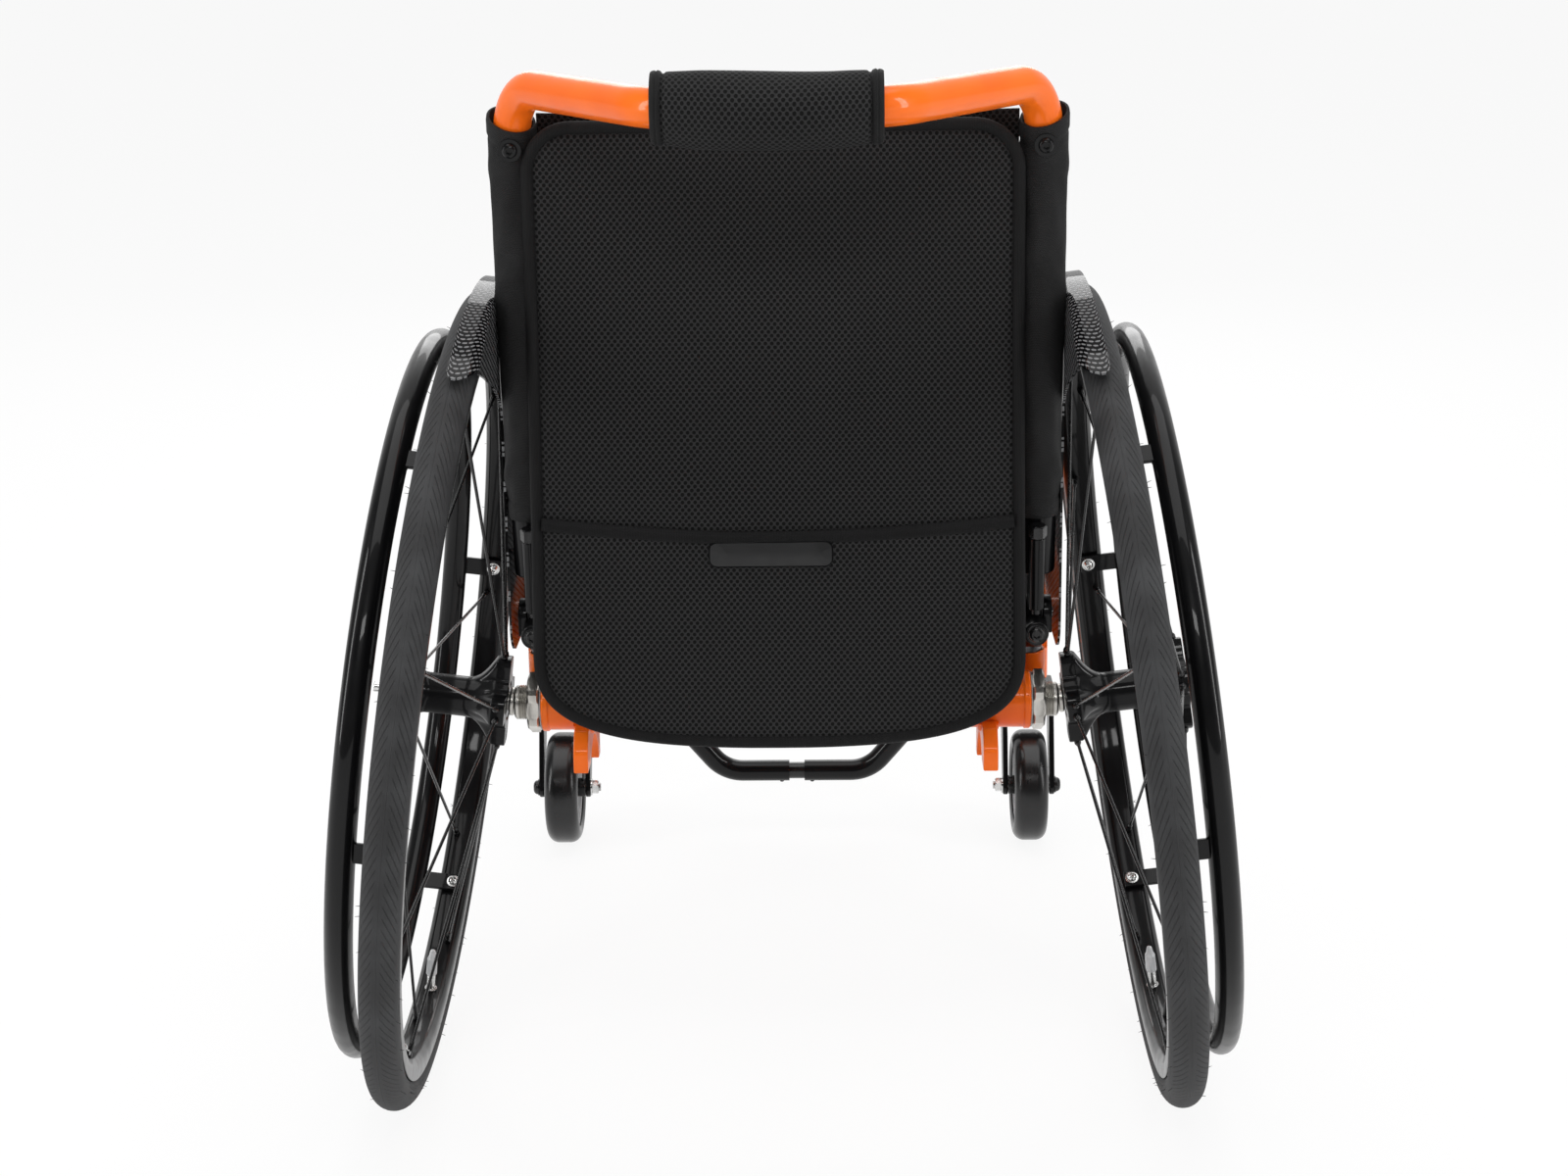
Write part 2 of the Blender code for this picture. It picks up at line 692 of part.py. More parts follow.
# Drive wheel pieces, in the wheel's own axes


def tyre():
    """Round section cut where the rim holds it, with a corner of the section facing the floor."""
    lean = -CAMBER
    crown = [lean + 36.0 * k for k in range(-3, 4)]
    outline = [(TYRE_SECTION * sin(radians(a)), TYRE_RING + TYRE_SECTION * cos(radians(a)))
               for a in crown]
    foot_half = RIM_WIDTH / 2 - RIM_WALL - GAP
    shoulder = RIM_FLANGE + 2 * GAP
    foot = RIM_BED + GAP
    outline += [(foot_half, shoulder), (foot_half, foot), (-foot_half, foot), (-foot_half, shoulder)]
    return turned(outline, RING_SIDES)


def rim():
    half = RIM_WIDTH / 2
    inner_half = half - RIM_CHAMFER_WIDTH
    well_half = half - RIM_WALL
    side_foot = RIM_INNER + RIM_CHAMFER_HEIGHT
    outline = [(-inner_half, RIM_INNER), (inner_half, RIM_INNER), (half, side_foot),
               (half, RIM_FLANGE), (well_half, RIM_FLANGE), (well_half, RIM_BED),
               (-well_half, RIM_BED), (-well_half, RIM_FLANGE), (-half, RIM_FLANGE),
               (-half, side_foot)]
    return turned(outline, RING_SIDES)


def spoke(side, root_angle, rim_angle):
    """One spoke from a flange to just inside the rim, as a square bar."""
    reach = RIM_INNER * cos(pi / RING_SIDES) - GAP - SPOKE_WIDTH / 4
    root = Vector((side * (HUB_HALF - HUB_FLANGE_THICKNESS / 2), SPOKE_ROOT * sin(radians(root_angle)),
                   SPOKE_ROOT * cos(radians(root_angle))))
    tip = Vector((side * SPOKE_RIM_OFFSET, reach * sin(radians(rim_angle)),
                  reach * cos(radians(rim_angle))))
    return swept([root, tip], circle(SPOKE_WIDTH / 2, SPOKE_SIDES))


def hub():
    """Two flanges on a barrel, with four pairs of spokes splayed from each flange."""
    bore = QUICK_AXLE_RADIUS + RUNNING_GAP
    neck = HUB_HALF - HUB_FLANGE_THICKNESS
    outline = [(-HUB_HALF, bore), (-HUB_HALF, HUB_FLANGE), (-neck, HUB_FLANGE),
               (-HUB_BARREL_HALF, HUB_BARREL), (HUB_BARREL_HALF, HUB_BARREL),
               (neck, HUB_FLANGE), (HUB_HALF, HUB_FLANGE), (HUB_HALF, bore)]
    body = turned(outline, ROUND_SIDES)
    pairs = SPOKES_PER_SIDE // 2
    for side, first in ((-1, 0.0), (1, SPOKE_SPLAY)):
        for pair in range(pairs):
            lobe = first + 360.0 * pair / pairs
            for lean in (-1, 1):
                bar = spoke(side, lobe + lean * SPOKE_PAIR, lobe + lean * SPOKE_SPLAY)
                body = joined(body, bar)
    return body


def handrim():
    """The push ring with its fixing tabs, which lie against the inside of the rim."""
    outline = [(HANDRIM_OFFSET + a, HANDRIM_RADIUS + r) for a, r in circle(HANDRIM_TUBE, HANDRIM_SIDES)]
    body = turned(outline, RING_SIDES)
    outer = RIM_INNER * cos(pi / RING_SIDES) - 3 * GAP
    half = TAB_WIDTH / 2
    for k in range(TAB_COUNT):
        tab = box((TAB_INNER_END, -half, outer - TAB_THICKNESS), (HANDRIM_OFFSET, half, outer))
        angle = TAB_FIRST + 360.0 * k / TAB_COUNT
        body = joined(body, moved(tab, Matrix.Rotation(-radians(angle), 4, "X")))
    return body


def quick_release_axle():
    """Axle with a head against the hub's outer face and a blind bore for the button."""
    head_start = HUB_HALF + GAP
    head_end = head_start + QUICK_AXLE_HEAD_LENGTH
    bore = BUTTON_RADIUS + RUNNING_GAP
    bore_end = head_end - BUTTON_LENGTH - BUTTON_TRAVEL + BUTTON_PROUD - 2 * GAP
    outline = [(QUICK_AXLE_INNER_END, 0.0), (QUICK_AXLE_INNER_END, QUICK_AXLE_RADIUS),
               (head_start, QUICK_AXLE_RADIUS), (head_start, QUICK_AXLE_HEAD),
               (head_end, QUICK_AXLE_HEAD), (head_end, bore), (bore_end, bore), (bore_end, 0.0)]
    return turned(outline, SMALL_SIDES)


def release_button():
    end = HUB_HALF + GAP + QUICK_AXLE_HEAD_LENGTH + BUTTON_PROUD
    return rod(end - BUTTON_LENGTH, end, BUTTON_RADIUS, SMALL_SIDES)


# Rear axle line, in the chair's axes


def axle_tube():
    """Tube with a collar and a threaded plug at each end."""
    half = AXLE_TUBE_HALF
    collar = half - AXLE_COLLAR_LENGTH
    plug = half - AXLE_PLUG_DEPTH
    plug_bore = THREAD_RADIUS + GAP
    right = [(collar, AXLE_TUBE_RADIUS), (collar, AXLE_COLLAR), (half, AXLE_COLLAR),
             (half, plug_bore), (plug, plug_bore), (plug, AXLE_TUBE_BORE)]
    left = [(-x, r) for x, r in reversed(right)]
    return shifted(turned(right + left, ROUND_SIDES), 0.0, 0.0, AXLE_TUBE_Z)


def camber_sleeve():
    """Thread in line with the axle tube, then a neck and a bore that follow the tilted axle."""
    start = AXLE_TUBE_HALF - THREAD_DEPTH
    thread = shifted(rod(start, THREAD_END, THREAD_RADIUS, ROUND_SIDES), 0.0, 0.0, AXLE_TUBE_Z)
    neck_start = (THREAD_END - WHEEL_X) / cos(radians(CAMBER)) - NECK_OVERLAP
    neck = moved(rod(neck_start, -HUB_HALF - GAP, SLEEVE_NECK, ROUND_SIDES), wheel_matrix())
    bore = rod(QUICK_AXLE_INNER_END - CLEAR, -HUB_HALF + CLEAR, QUICK_AXLE_RADIUS + RUNNING_GAP,
               SMALL_SIDES)
    return cut(joined(thread, neck), moved(bore, wheel_matrix()))


def camber_nut():
    """Hexagon nut with a flat towards the rear."""
    start = AXLE_TUBE_HALF + NUT_INSET
    blank = rod(start, start + NUT_THICKNESS, NUT_CORNERS, 6)
    bore = rod(start - CLEAR, start + NUT_THICKNESS + CLEAR, THREAD_RADIUS + GAP, ROUND_SIDES)
    return shifted(cut(blank, bore), 0.0, 0.0, AXLE_TUBE_Z)


def anti_tip_bracket():
    """Arch plate welded under the axle tube, with the rear leg shorter than the front one."""
    rear_angle = 180.0 - degrees(asin((ARCH_REAR_FOOT - ARCH_Z) / ARCH_RADIUS))
    front_angle = degrees(asin((ARCH_FRONT_FOOT - ARCH_Z) / ARCH_RADIUS))
    inside = arc((ARCH_Y, ARCH_Z), ARCH_RADIUS, front_angle, rear_angle, 10)
    outline = [(ARCH_FRONT, ARCH_FRONT_FOOT)] + inside
    outline += [(ARCH_REAR, ARCH_REAR_FOOT), (ARCH_REAR, ARCH_SHOULDER), (ARCH_REAR + ARCH_LEG, ARCH_TOP),
                (ARCH_FRONT - ARCH_LEG, ARCH_TOP), (ARCH_FRONT, ARCH_SHOULDER)]
    plate = prism(outline, ARCH_X - ARCH_WIDTH / 2, ARCH_X + ARCH_WIDTH / 2)
    seat = shifted(rod(ARCH_X - CLEAR, ARCH_X + CLEAR, AXLE_TUBE_RADIUS + GAP, ROUND_SIDES),
                   0.0, 0.0, AXLE_TUBE_Z)
    return cut(plate, seat)


# Seat frame, in the chair's axes


def rail_path():
    return rounded_path([(RAIL_X, BOSS_Y, rail_z(BOSS_Y)), (RAIL_X, RAIL_CORNER_Y, rail_z(RAIL_CORNER_Y)),
                         (LEG_X, LEG_Y, LEG_FOOT_Z)], [RAIL_BEND], BEND_STEPS)


def leg_direction():
    return (Vector((LEG_X, LEG_Y, LEG_FOOT_Z)) - rail_path()[-2]).normalized()


def boss_rod(radius, foot, top):
    """A round bar on the axis of the rail's rear boss."""
    return shifted(moved(rod(foot, top, radius, ROUND_SIDES), TO_Z), RAIL_X, BOSS_Y, 0.0)


def guard_tab(y):
    """Upright tab on the rail's outer side that carries the side guard."""
    middle = rail_z(y)
    half = GUARD_TAB_WIDTH / 2
    return box((RAIL_X + RAIL_RADIUS - GUARD_TAB_ROOT, y - half, middle - GUARD_TAB_DROP),
               (GUARD_X - GAP, y + half, middle + GUARD_TAB_RISE))


def seat_rail():
    """Rail and front leg in one bent tube, the rear boss for the insert and the guard's tabs."""
    body = swept(rail_path(), circle(RAIL_RADIUS, SMALL_SIDES))
    boss = boss_rod(RAIL_RADIUS, BOSS_FOOT, BOSS_TOP)
    body = joined(body, boss, *[guard_tab(y) for y in GUARD_TAB_Y])
    collar = shifted(rod(RAIL_X - CLEAR, RAIL_X + CLEAR, AXLE_COLLAR + GAP, ROUND_SIDES),
                     0.0, 0.0, AXLE_TUBE_Z)
    foot = Vector((LEG_X, LEG_Y, LEG_FOOT_Z))
    down = leg_direction()
    socket = swept([foot - down * (FOOT_OVERLAP + FOOT_SOCKET_ROOM), foot + down * CLEAR],
                   circle(FOOT_TUBE_RADIUS + GAP, ROUND_SIDES))
    return cut(body, collar, boss_rod(INSERT_RADIUS + GAP, BOSS_BORE_FOOT, BOSS_TOP + CLEAR), socket)


def height_insert():
    tube = ring(INSERT_FOOT, INSERT_TOP, INSERT_BORE, INSERT_RADIUS, ROUND_SIDES)
    return shifted(moved(tube, TO_Z), RAIL_X, BOSS_Y, 0.0)


def rail_cutter():
    """The rail's outside with the gap that its neighbours keep."""
    return swept(rail_path(), circle(RAIL_RADIUS + GAP, SMALL_SIDES))


def front_cross_tube():
    """Cross tube between the rails, its ends shaped to the rails."""
    z = rail_z(CROSS_TUBE_Y) - CROSS_TUBE_DROP
    body = shifted(rod(-RAIL_X, RAIL_X, CROSS_TUBE_RADIUS, ROUND_SIDES), 0.0, CROSS_TUBE_Y, z)
    return cut(body, rail_cutter(), moved(rail_cutter(), MIRROR_X))


def seat_sling():
    """Sling that lies on both rails and sags a little between them."""
    top = []
    foot = []
    for row in range(SLING_ROWS + 1):
        y = SLING_REAR + (SLING_FRONT - SLING_REAR) * row / SLING_ROWS
        rest = rail_z(y) + RAIL_RADIUS / cos(radians(RAIL_SLOPE)) + GAP
        top_row = []
        foot_row = []
        for column in range(SLING_COLUMNS + 1):
            x = SLING_HALF * (2 * column / SLING_COLUMNS - 1)
            inside = max(0.0, 1 - (x / RAIL_X) ** 2)
            z = rest - SLING_SAG * inside
            foot_row.append((x, y, z))
            top_row.append((x, y, z + SLING_THICKNESS))
        top.append(top_row)
        foot.append(foot_row)
    return between_sheets(top, foot)


# Side guard, in the chair's axes


def fender_point(angle, offset):
    """A point at the fender's radius about the wheel's axle."""
    return wheel_matrix() @ Vector((offset, GUARD_RADIUS * sin(radians(angle)),
                                    GUARD_RADIUS * cos(radians(angle))))


def guard_upper_edge(y):
    """Lower border of the part of the guard that reaches back over the tyre."""
    back = max(0.0, GUARD_REAR_Y - y)
    return GUARD_SPLIT_Z + GUARD_EDGE_RISE * back ** GUARD_EDGE_POWER


def guard_point(angle, across, turn):
    """A point across the fender from its outer edge (0) to the bend (1), then round the bend."""
    edge = fender_point(angle, GUARD_EDGE_OFFSET)
    inward = fender_point(angle, GUARD_EDGE_OFFSET - 0.001) - edge
    inward.normalize()
    reach = (edge.x - GUARD_X - GUARD_BEND) / -inward.x
    point = edge + inward * reach * across
    return point + Vector((-GUARD_BEND * sin(radians(turn)), 0.0, -GUARD_BEND * (1 - cos(radians(turn)))))


def guard_end(across, turn):
    """Degrees by which the fender's rear end is cut back: its round outer corner and its slant."""
    into = max(0.0, 1 - across / GUARD_END_SHARE)
    return GUARD_END_CORNER * (1 - sqrt(1 - into ** 2)) + GUARD_END_SLANT * ((across + turn / 90.0) / 2) ** 2


def guard_column(angle, back=0.0):
    """Points of one station, from the fender's outer edge over the bend to the sheet's split.

    Back is 1 at the rear end and 0 from the sheet's rear edge on."""
    points = [guard_point(angle + back * guard_end(across, turn), across, turn)
              for across, turn in GUARD_ACROSS]
    head = points[-1]
    foot_z = min(guard_upper_edge(head.y), head.z - 0.002)
    middle_z = (head.z + foot_z) / 2
    return points + [Vector((GUARD_X, head.y, middle_z)), Vector((GUARD_X, head.y, foot_z))]


def degrees_at(y):
    """Angle about the wheel's axle at which the fender reaches a given Y."""
    return degrees(asin(y / GUARD_RADIUS))


def guard_foot(share):
    """A point of the sheet's lower border, with a round corner at each end."""
    y = GUARD_REAR_Y + (GUARD_FRONT_FOOT_Y - GUARD_REAR_Y) * share
    into_corner = max(GUARD_REAR_Y + GUARD_CORNER - y, y - GUARD_FRONT_FOOT_Y + GUARD_CORNER, 0.0)
    lift = GUARD_CORNER - sqrt(GUARD_CORNER ** 2 - into_corner ** 2)
    return Vector((GUARD_X, y, GUARD_FOOT_Z + lift))


def side_guard():
    """Fender and upright sheet in one moulding of even thickness."""
    rear_angle = degrees_at(GUARD_REAR_Y)
    upper = [guard_column(GUARD_REAR_ANGLE + (rear_angle - GUARD_REAR_ANGLE) * k / 5, 1 - k / 5)
             for k in range(5)]
    shares = [0.0, 0.02, 0.09, 0.25, 0.42, 0.59, 0.76, 0.91, 0.98, 1.0]
    front_angles = [rear_angle + (GUARD_FRONT_ANGLE - rear_angle) * share for share in shares]
    upper += [guard_column(angle) for angle in front_angles]
    lower = []
    for share, angle in zip(shares, front_angles):
        head = guard_column(angle)[-1]
        foot = guard_foot(share)
        lower.append([head.lerp(foot, step / 3) for step in range(4)])
    sheet = grid_sheet(upper)
    add_grid(sheet, lower)
    bmesh.ops.remove_doubles(sheet, verts=sheet.verts, dist=1e-5)
    bmesh.ops.recalc_face_normals(sheet, faces=sheet.faces)
    if sum(face.normal.x for face in sheet.faces) > 0:
        bmesh.ops.reverse_faces(sheet, faces=sheet.faces)
    return thickened(sheet, GUARD_THICKNESS)


# Backrest mechanism, in the chair's axes


def pivot_bracket():
    """Bracket on the height insert with two cheeks for the hinge and a boss for its clamp bolt."""
    boss = bolt_rod(PIVOT_BOSS_REAR, PIVOT_BOSS_FRONT, PIVOT_BOSS_RADIUS, ROUND_SIDES)
    cheek_outline = arc((HINGE_Y, HINGE_Z), CHEEK_RADIUS, 0.0, 180.0, 8)
    cheek_foot = PIVOT_BOSS_Z - CHEEK_OVERLAP
    cheek_outline += [(HINGE_Y - CHEEK_RADIUS, cheek_foot), (HINGE_Y + CHEEK_RADIUS, cheek_foot)]
    cheeks = prism(cheek_outline, POST_X - CHEEK_HALF, POST_X + CHEEK_HALF)
    foot_z = INSERT_TOP + GAP
    foot = boss_rod(INSERT_RADIUS, foot_z, foot_z + PIVOT_FOOT_HEIGHT)
    spigot = boss_rod(INSERT_BORE - GAP, foot_z - PIVOT_SPIGOT, foot_z + SINK)
    slot_half = TONGUE_THICKNESS / 2 + GAP
    lean = max(PIVOT_BOSS_Z + PIVOT_BOSS_RADIUS - HINGE_Z, CHEEK_RADIUS) * POST_TILT
    slot_rear = HINGE_Y - TONGUE_RADIUS / cos(radians(RECLINE)) - lean - GAP
    slot_foot = HINGE_Z - TONGUE_RADIUS - 2 * GAP
    slot = box((POST_X - slot_half, slot_rear, slot_foot),
               (POST_X + slot_half, HINGE_Y + CLEAR, HINGE_Z + CLEAR))
    pin = hinge_rod(HINGE_PIN_RADIUS + GAP)
    bolt = bolt_rod(PIVOT_BOSS_REAR - CLEAR, PIVOT_BOSS_REAR + PIVOT_BOLT_DEPTH + GAP,
                    PIVOT_BOLT_SHANK + GAP, SMALL_SIDES)
    return cut(joined(boss, cheeks, pivot_web(), foot, spigot), slot, pin, bolt)


def pivot_web():
    """Slanted web of the pivot bracket, from the clamp boss to the foot on the insert."""
    foot = INSERT_TOP + GAP + SINK
    top = foot + PIVOT_FOOT_HEIGHT - 2 * SINK
    upper = PIVOT_BOSS_Z - SINK
    heel = (foot + PIVOT_BOSS_Z) / 2
    outline = [(PIVOT_WEB_REAR, heel), (PIVOT_WEB_HEEL, foot), (BOSS_Y, foot), (BOSS_Y, top),
               (PIVOT_WEB_HEEL - PIVOT_WEB_REAR, top), (PIVOT_WEB_HEEL, upper), (PIVOT_WEB_REAR, upper)]
    middle = (RAIL_X + POST_X) / 2
    return prism(outline, middle - PIVOT_WEB_WIDTH / 2, middle + PIVOT_WEB_WIDTH / 2)


def bolt_rod(start, end, radius, sides):
    """A round bar on the axis of the pivot bracket's clamp bolt."""
    return shifted(moved(rod(start, end, radius, sides), TO_Y), POST_X, 0.0, PIVOT_BOSS_Z)


def hinge_rod(radius):
    """A cutter along the hinge's axis."""
    return shifted(rod(POST_X - CLEAR, POST_X + CLEAR, radius, ROUND_SIDES), 0.0, HINGE_Y, HINGE_Z)


def button_bolt(washer, head, shank, depth):
    """A button-head bolt with its washer, along X, whose seat is at 0 and whose head points to -X."""
    seat = -GAP
    under = seat - WASHER_THICKNESS
    top = under - BOLT_HEAD_HEIGHT
    brow = (under + top) / 2
    return turned([(depth, 0.0), (depth, shank), (seat, shank), (seat, washer), (under, washer),
                   (under, head), (brow, head * 0.92), (top, head * 0.55), (top, 0.0)], SMALL_SIDES)


def pivot_bolt():
    bolt = button_bolt(PIVOT_BOLT_WASHER, PIVOT_BOLT_HEAD, PIVOT_BOLT_SHANK, PIVOT_BOLT_DEPTH)
    return shifted(moved(bolt, TO_Y), POST_X, PIVOT_BOSS_REAR, PIVOT_BOSS_Z)


def hinge_pin():
    """Pin through both cheeks and the post's tongue, with a head on its inner end."""
    inner = POST_X - CHEEK_HALF - GAP
    outer = POST_X + CHEEK_HALF + SINK
    pin = turned([(inner - HINGE_PIN_HEAD_LENGTH, 0.0), (inner - HINGE_PIN_HEAD_LENGTH, HINGE_PIN_HEAD),
                  (inner, HINGE_PIN_HEAD), (inner, HINGE_PIN_RADIUS), (outer, HINGE_PIN_RADIUS),
                  (outer, 0.0)], SMALL_SIDES)
    return shifted(pin, 0.0, HINGE_Y, HINGE_Z)


# Backrest pieces, in the hinge's own axes with Z up the posts


def upright(bm, x, y):
    """Stand a piece that was turned along X on the posts' direction."""
    return shifted(moved(bm, TO_Z), x, y, 0.0)


def back_post():
    """Round post with a bore for the push bar and a flat tongue for the hinge."""
    tube = upright(rod(POST_FOOT, POST_TOP, POST_RADIUS, ROUND_SIDES), POST_X, 0.0)
    tongue_outline = arc((0.0, 0.0), TONGUE_RADIUS, 180.0, 360.0, 8)
    root = POST_FOOT + TONGUE_OVERLAP
    tongue_outline += [(TONGUE_RADIUS, root), (-TONGUE_RADIUS, root)]
    half = TONGUE_THICKNESS / 2
    tongue = prism(tongue_outline, POST_X - half, POST_X + half)
    bore = upright(rod(POST_TOP - POST_BORE_DEPTH, POST_TOP + CLEAR, POST_BORE, BORE_SIDES), POST_X, 0.0)
    pin = rod(POST_X - CLEAR, POST_X + CLEAR, HINGE_PIN_RADIUS + GAP, ROUND_SIDES)
    return cut(joined(tube, tongue), bore, pin)


def back_sleeve():
    """Fabric sleeve round the post."""
    return upright(ring(SLEEVE_FOOT, SLEEVE_TOP, SLEEVE_INNER, SLEEVE_OUTER, ROUND_SIDES), POST_X, 0.0)


def cover_bolt():
    """Bolt with washer on the rear of the cover sleeve."""
    bolt = button_bolt(COVER_BOLT_WASHER, COVER_BOLT_HEAD, COVER_BOLT_SHANK, 0.0)
    return shifted(moved(bolt, TO_Y), POST_X, -SLEEVE_OUTER, COVER_BOLT_AT)


def stop_tube():
    """Tube welded behind the post, which holds the screw that sets the backrest's angle."""
    tube = upright(rod(STOP_FOOT, STOP_TOP, STOP_RADIUS, SMALL_SIDES), POST_X, -STOP_OFFSET)
    web = box((POST_X - STOP_WEB / 2, -STOP_OFFSET, POST_FOOT + SINK),
              (POST_X + STOP_WEB / 2, -POST_RADIUS + SINK, STOP_TOP - SINK))
    seat = upright(rod(-CLEAR, CLEAR + STOP_TOP, POST_RADIUS + GAP, ROUND_SIDES), POST_X, 0.0)
    bore = upright(rod(-CLEAR, CLEAR + STOP_TOP, STOP_BORE, SMALL_SIDES), POST_X, -STOP_OFFSET)
    return cut(joined(tube, web), seat, bore)


def stop_screw():
    """Screw with a six-sided head on the stop tube, its tip just above the pivot bracket."""
    ledge = PIVOT_BOSS_Z + PIVOT_BOSS_RADIUS + GAP - HINGE_Z
    tip = ledge / cos(radians(RECLINE)) + (STOP_OFFSET + STOP_SCREW_RADIUS) * POST_TILT
    seat = STOP_TOP + GAP
    shank = upright(rod(tip, seat + SINK, STOP_SCREW_RADIUS, SMALL_SIDES), POST_X, -STOP_OFFSET)
    head = upright(rod(seat, seat + STOP_HEAD_LENGTH, STOP_HEAD_CORNERS, 6), POST_X, -STOP_OFFSET)
    return joined(shank, head)


def bar_path(foot):
    """The push bar's centre line from the right post to the left one, in the hinge's axes."""
    start = Vector((POST_X, 0.0, foot))
    corner = Vector((POST_X, 0.0, BAR_TURN))
    rear = in_back(BAR_CORNER_X, BAR_CORNER_Y, BAR_Z)
    middle = in_back(0.0, BAR_CENTRE_Y, BAR_Z)
    right = [start, corner, rear, middle]
    left = [Vector((-p.x, p.y, p.z)) for p in reversed(right[:-1])]
    bends = [BAR_BEND, BAR_REAR_BEND, BAR_MIDDLE_BEND, BAR_REAR_BEND, BAR_BEND]
    return rounded_path(right + left, bends, BEND_STEPS)


def push_bar():
    """Bent tube whose ends slide into the posts."""
    foot = POST_TOP - POST_BORE_DEPTH + GAP
    return swept(bar_path(foot), circle(BAR_RADIUS, SMALL_SIDES))


def grip_stations():
    """Points along the push bar under the padded sleeve, with the pad's radius at each."""
    path = bar_path(POST_TOP)
    start = GRIP_MIDDLE + GRIP_HALF
    end = GRIP_MIDDLE - GRIP_HALF
    wanted = [start + (end - start) * k / 10 for k in range(11)]
    points = []
    for x in wanted:
        for before, after in zip(path, path[1:]):
            if before.x >= x > after.x:
                points.append(before.lerp(after, (before.x - x) / (before.x - after.x)))
                break
    return points


def grip_sleeve():
    """Padded sleeve round the middle of the push bar, a little fuller between its ends."""
    points = grip_stations()
    last = len(points) - 1
    outlines = []
    for k in range(len(points)):
        swell = min(1.0, 4.0 * min(k, last - k) / last)
        outlines.append(circle(GRIP_END_RADIUS + (GRIP_RADIUS - GRIP_END_RADIUS) * swell, ROUND_SIDES))
    body = swept(points, outlines, (0.0, 0.0, 1.0))
    return cut(body, swept(bar_path(POST_TOP), circle(BAR_RADIUS + GAP, SMALL_SIDES)))


def panel_half_width(z):
    """Half the rear panel's width at a height, with its round upper and lower corners."""
    if z > PANEL_TOP - PANEL_CORNER:
        rise = z - (PANEL_TOP - PANEL_CORNER)
        return PANEL_HALF - PANEL_CORNER + sqrt(max(0.0, PANEL_CORNER ** 2 - rise ** 2))
    if z > PANEL_ROUND_FROM:
        share = (PANEL_TOP - PANEL_CORNER - z) / (PANEL_TOP - PANEL_CORNER - PANEL_ROUND_FROM)
        return PANEL_HALF + (PANEL_LOW_HALF - PANEL_HALF) * share
    drop = min(1.0, (PANEL_ROUND_FROM - z) / (PANEL_ROUND_FROM - PANEL_FOOT))
    return PANEL_LOW_HALF * (1 - drop ** PANEL_ROUND_POWER) ** (1 / PANEL_ROUND_POWER)


def panel_rows():
    """Heights of the panel's rows, closer together where its corners are round."""
    top = [PANEL_TOP - PANEL_CORNER * (1 - sin(radians(a))) for a in (90.0, 65.0, 42.0, 20.0)]
    straight = PANEL_TOP - PANEL_CORNER
    middle = [straight - (straight - PANEL_ROUND_FROM) * k / PANEL_ROWS_MIDDLE
              for k in range(PANEL_ROWS_MIDDLE + 1)]
    round_part = [PANEL_ROUND_FROM - (PANEL_ROUND_FROM - PANEL_FOOT) * sin(radians(a)) ** (2 / 3)
                  for a in (12.0, 26.0, 40.0, 53.0, 64.0, 74.0, 82.0)]
    return top + middle + round_part


def fold_height(x, z):
    """How far the panel's folds stand back from its smooth surface."""
    total = 0.0
    for fold_x, fold_z, lean, half_width, half_length, height in FOLDS:
        run = radians(lean)
        rise = z - PANEL_FOOT - fold_z
        along = (x - fold_x) * sin(run) + rise * cos(run)
        across = (x - fold_x) * cos(run) - rise * sin(run)
        total += height * exp(-(across / half_width) ** 2 - (along / half_length) ** 2)
    return total


def panel_surface(x, z, half, behind):
    """A point of the panel at a depth behind its front face, which lies on the post's sleeve."""
    kick_share = max(0.0, PANEL_KICK_FROM - z) / (PANEL_KICK_FROM - PANEL_FOOT)
    kick = PANEL_KICK * kick_share ** PANEL_KICK_POWER
    reach = min(POST_X - half, POST_X - PANEL_HALF)
    seat = sqrt((SLEEVE_OUTER * cos(pi / ROUND_SIDES)) ** 2 - reach ** 2) + 2 * GAP
    y = HINGE_Y - (z - HINGE_Z) * POST_TILT - seat / cos(radians(RECLINE)) - kick
    inside = max(0.0, 1 - (x / half) ** 4)
    return in_back(x, y - behind - fold_height(x, z) * inside, z)


def back_panel():
    """Rear panel of the cover: it hangs from the posts and its flap hangs behind the axle."""
    front = []
    rear = []
    for z in panel_rows():
        half = panel_half_width(z)
        columns = [half * sin(radians(90.0 * (2 * k / PANEL_COLUMNS - 1))) * 0.35
                   + half * (2 * k / PANEL_COLUMNS - 1) * 0.65 for k in range(PANEL_COLUMNS + 1)]
        front.append([panel_surface(x, z, half, 0.0) for x in columns])
        rear.append([panel_surface(x, z, half, PANEL_THICKNESS) for x in columns])
    return between_sheets(front, rear)


def back_upholstery():
    """Front side of the upholstery, between the sleeves, a little slack in its middle."""
    front = []
    rear = []
    for row in range(UPHOLSTERY_ROWS + 1):
        z = UPHOLSTERY_FOOT + (UPHOLSTERY_TOP - UPHOLSTERY_FOOT) * row / UPHOLSTERY_ROWS
        xs = [UPHOLSTERY_HALF * (2 * column / UPHOLSTERY_COLUMNS - 1)
              for column in range(UPHOLSTERY_COLUMNS + 1)]
        sags = [UPHOLSTERY_SAG * (1 - (x / UPHOLSTERY_HALF) ** 2) for x in xs]
        front.append([(x, UPHOLSTERY_THICKNESS - sag, z) for x, sag in zip(xs, sags)])
        rear.append([(x, -sag, z) for x, sag in zip(xs, sags)])
    return between_sheets(front, rear)


# Casters: the housing is in the chair's axes


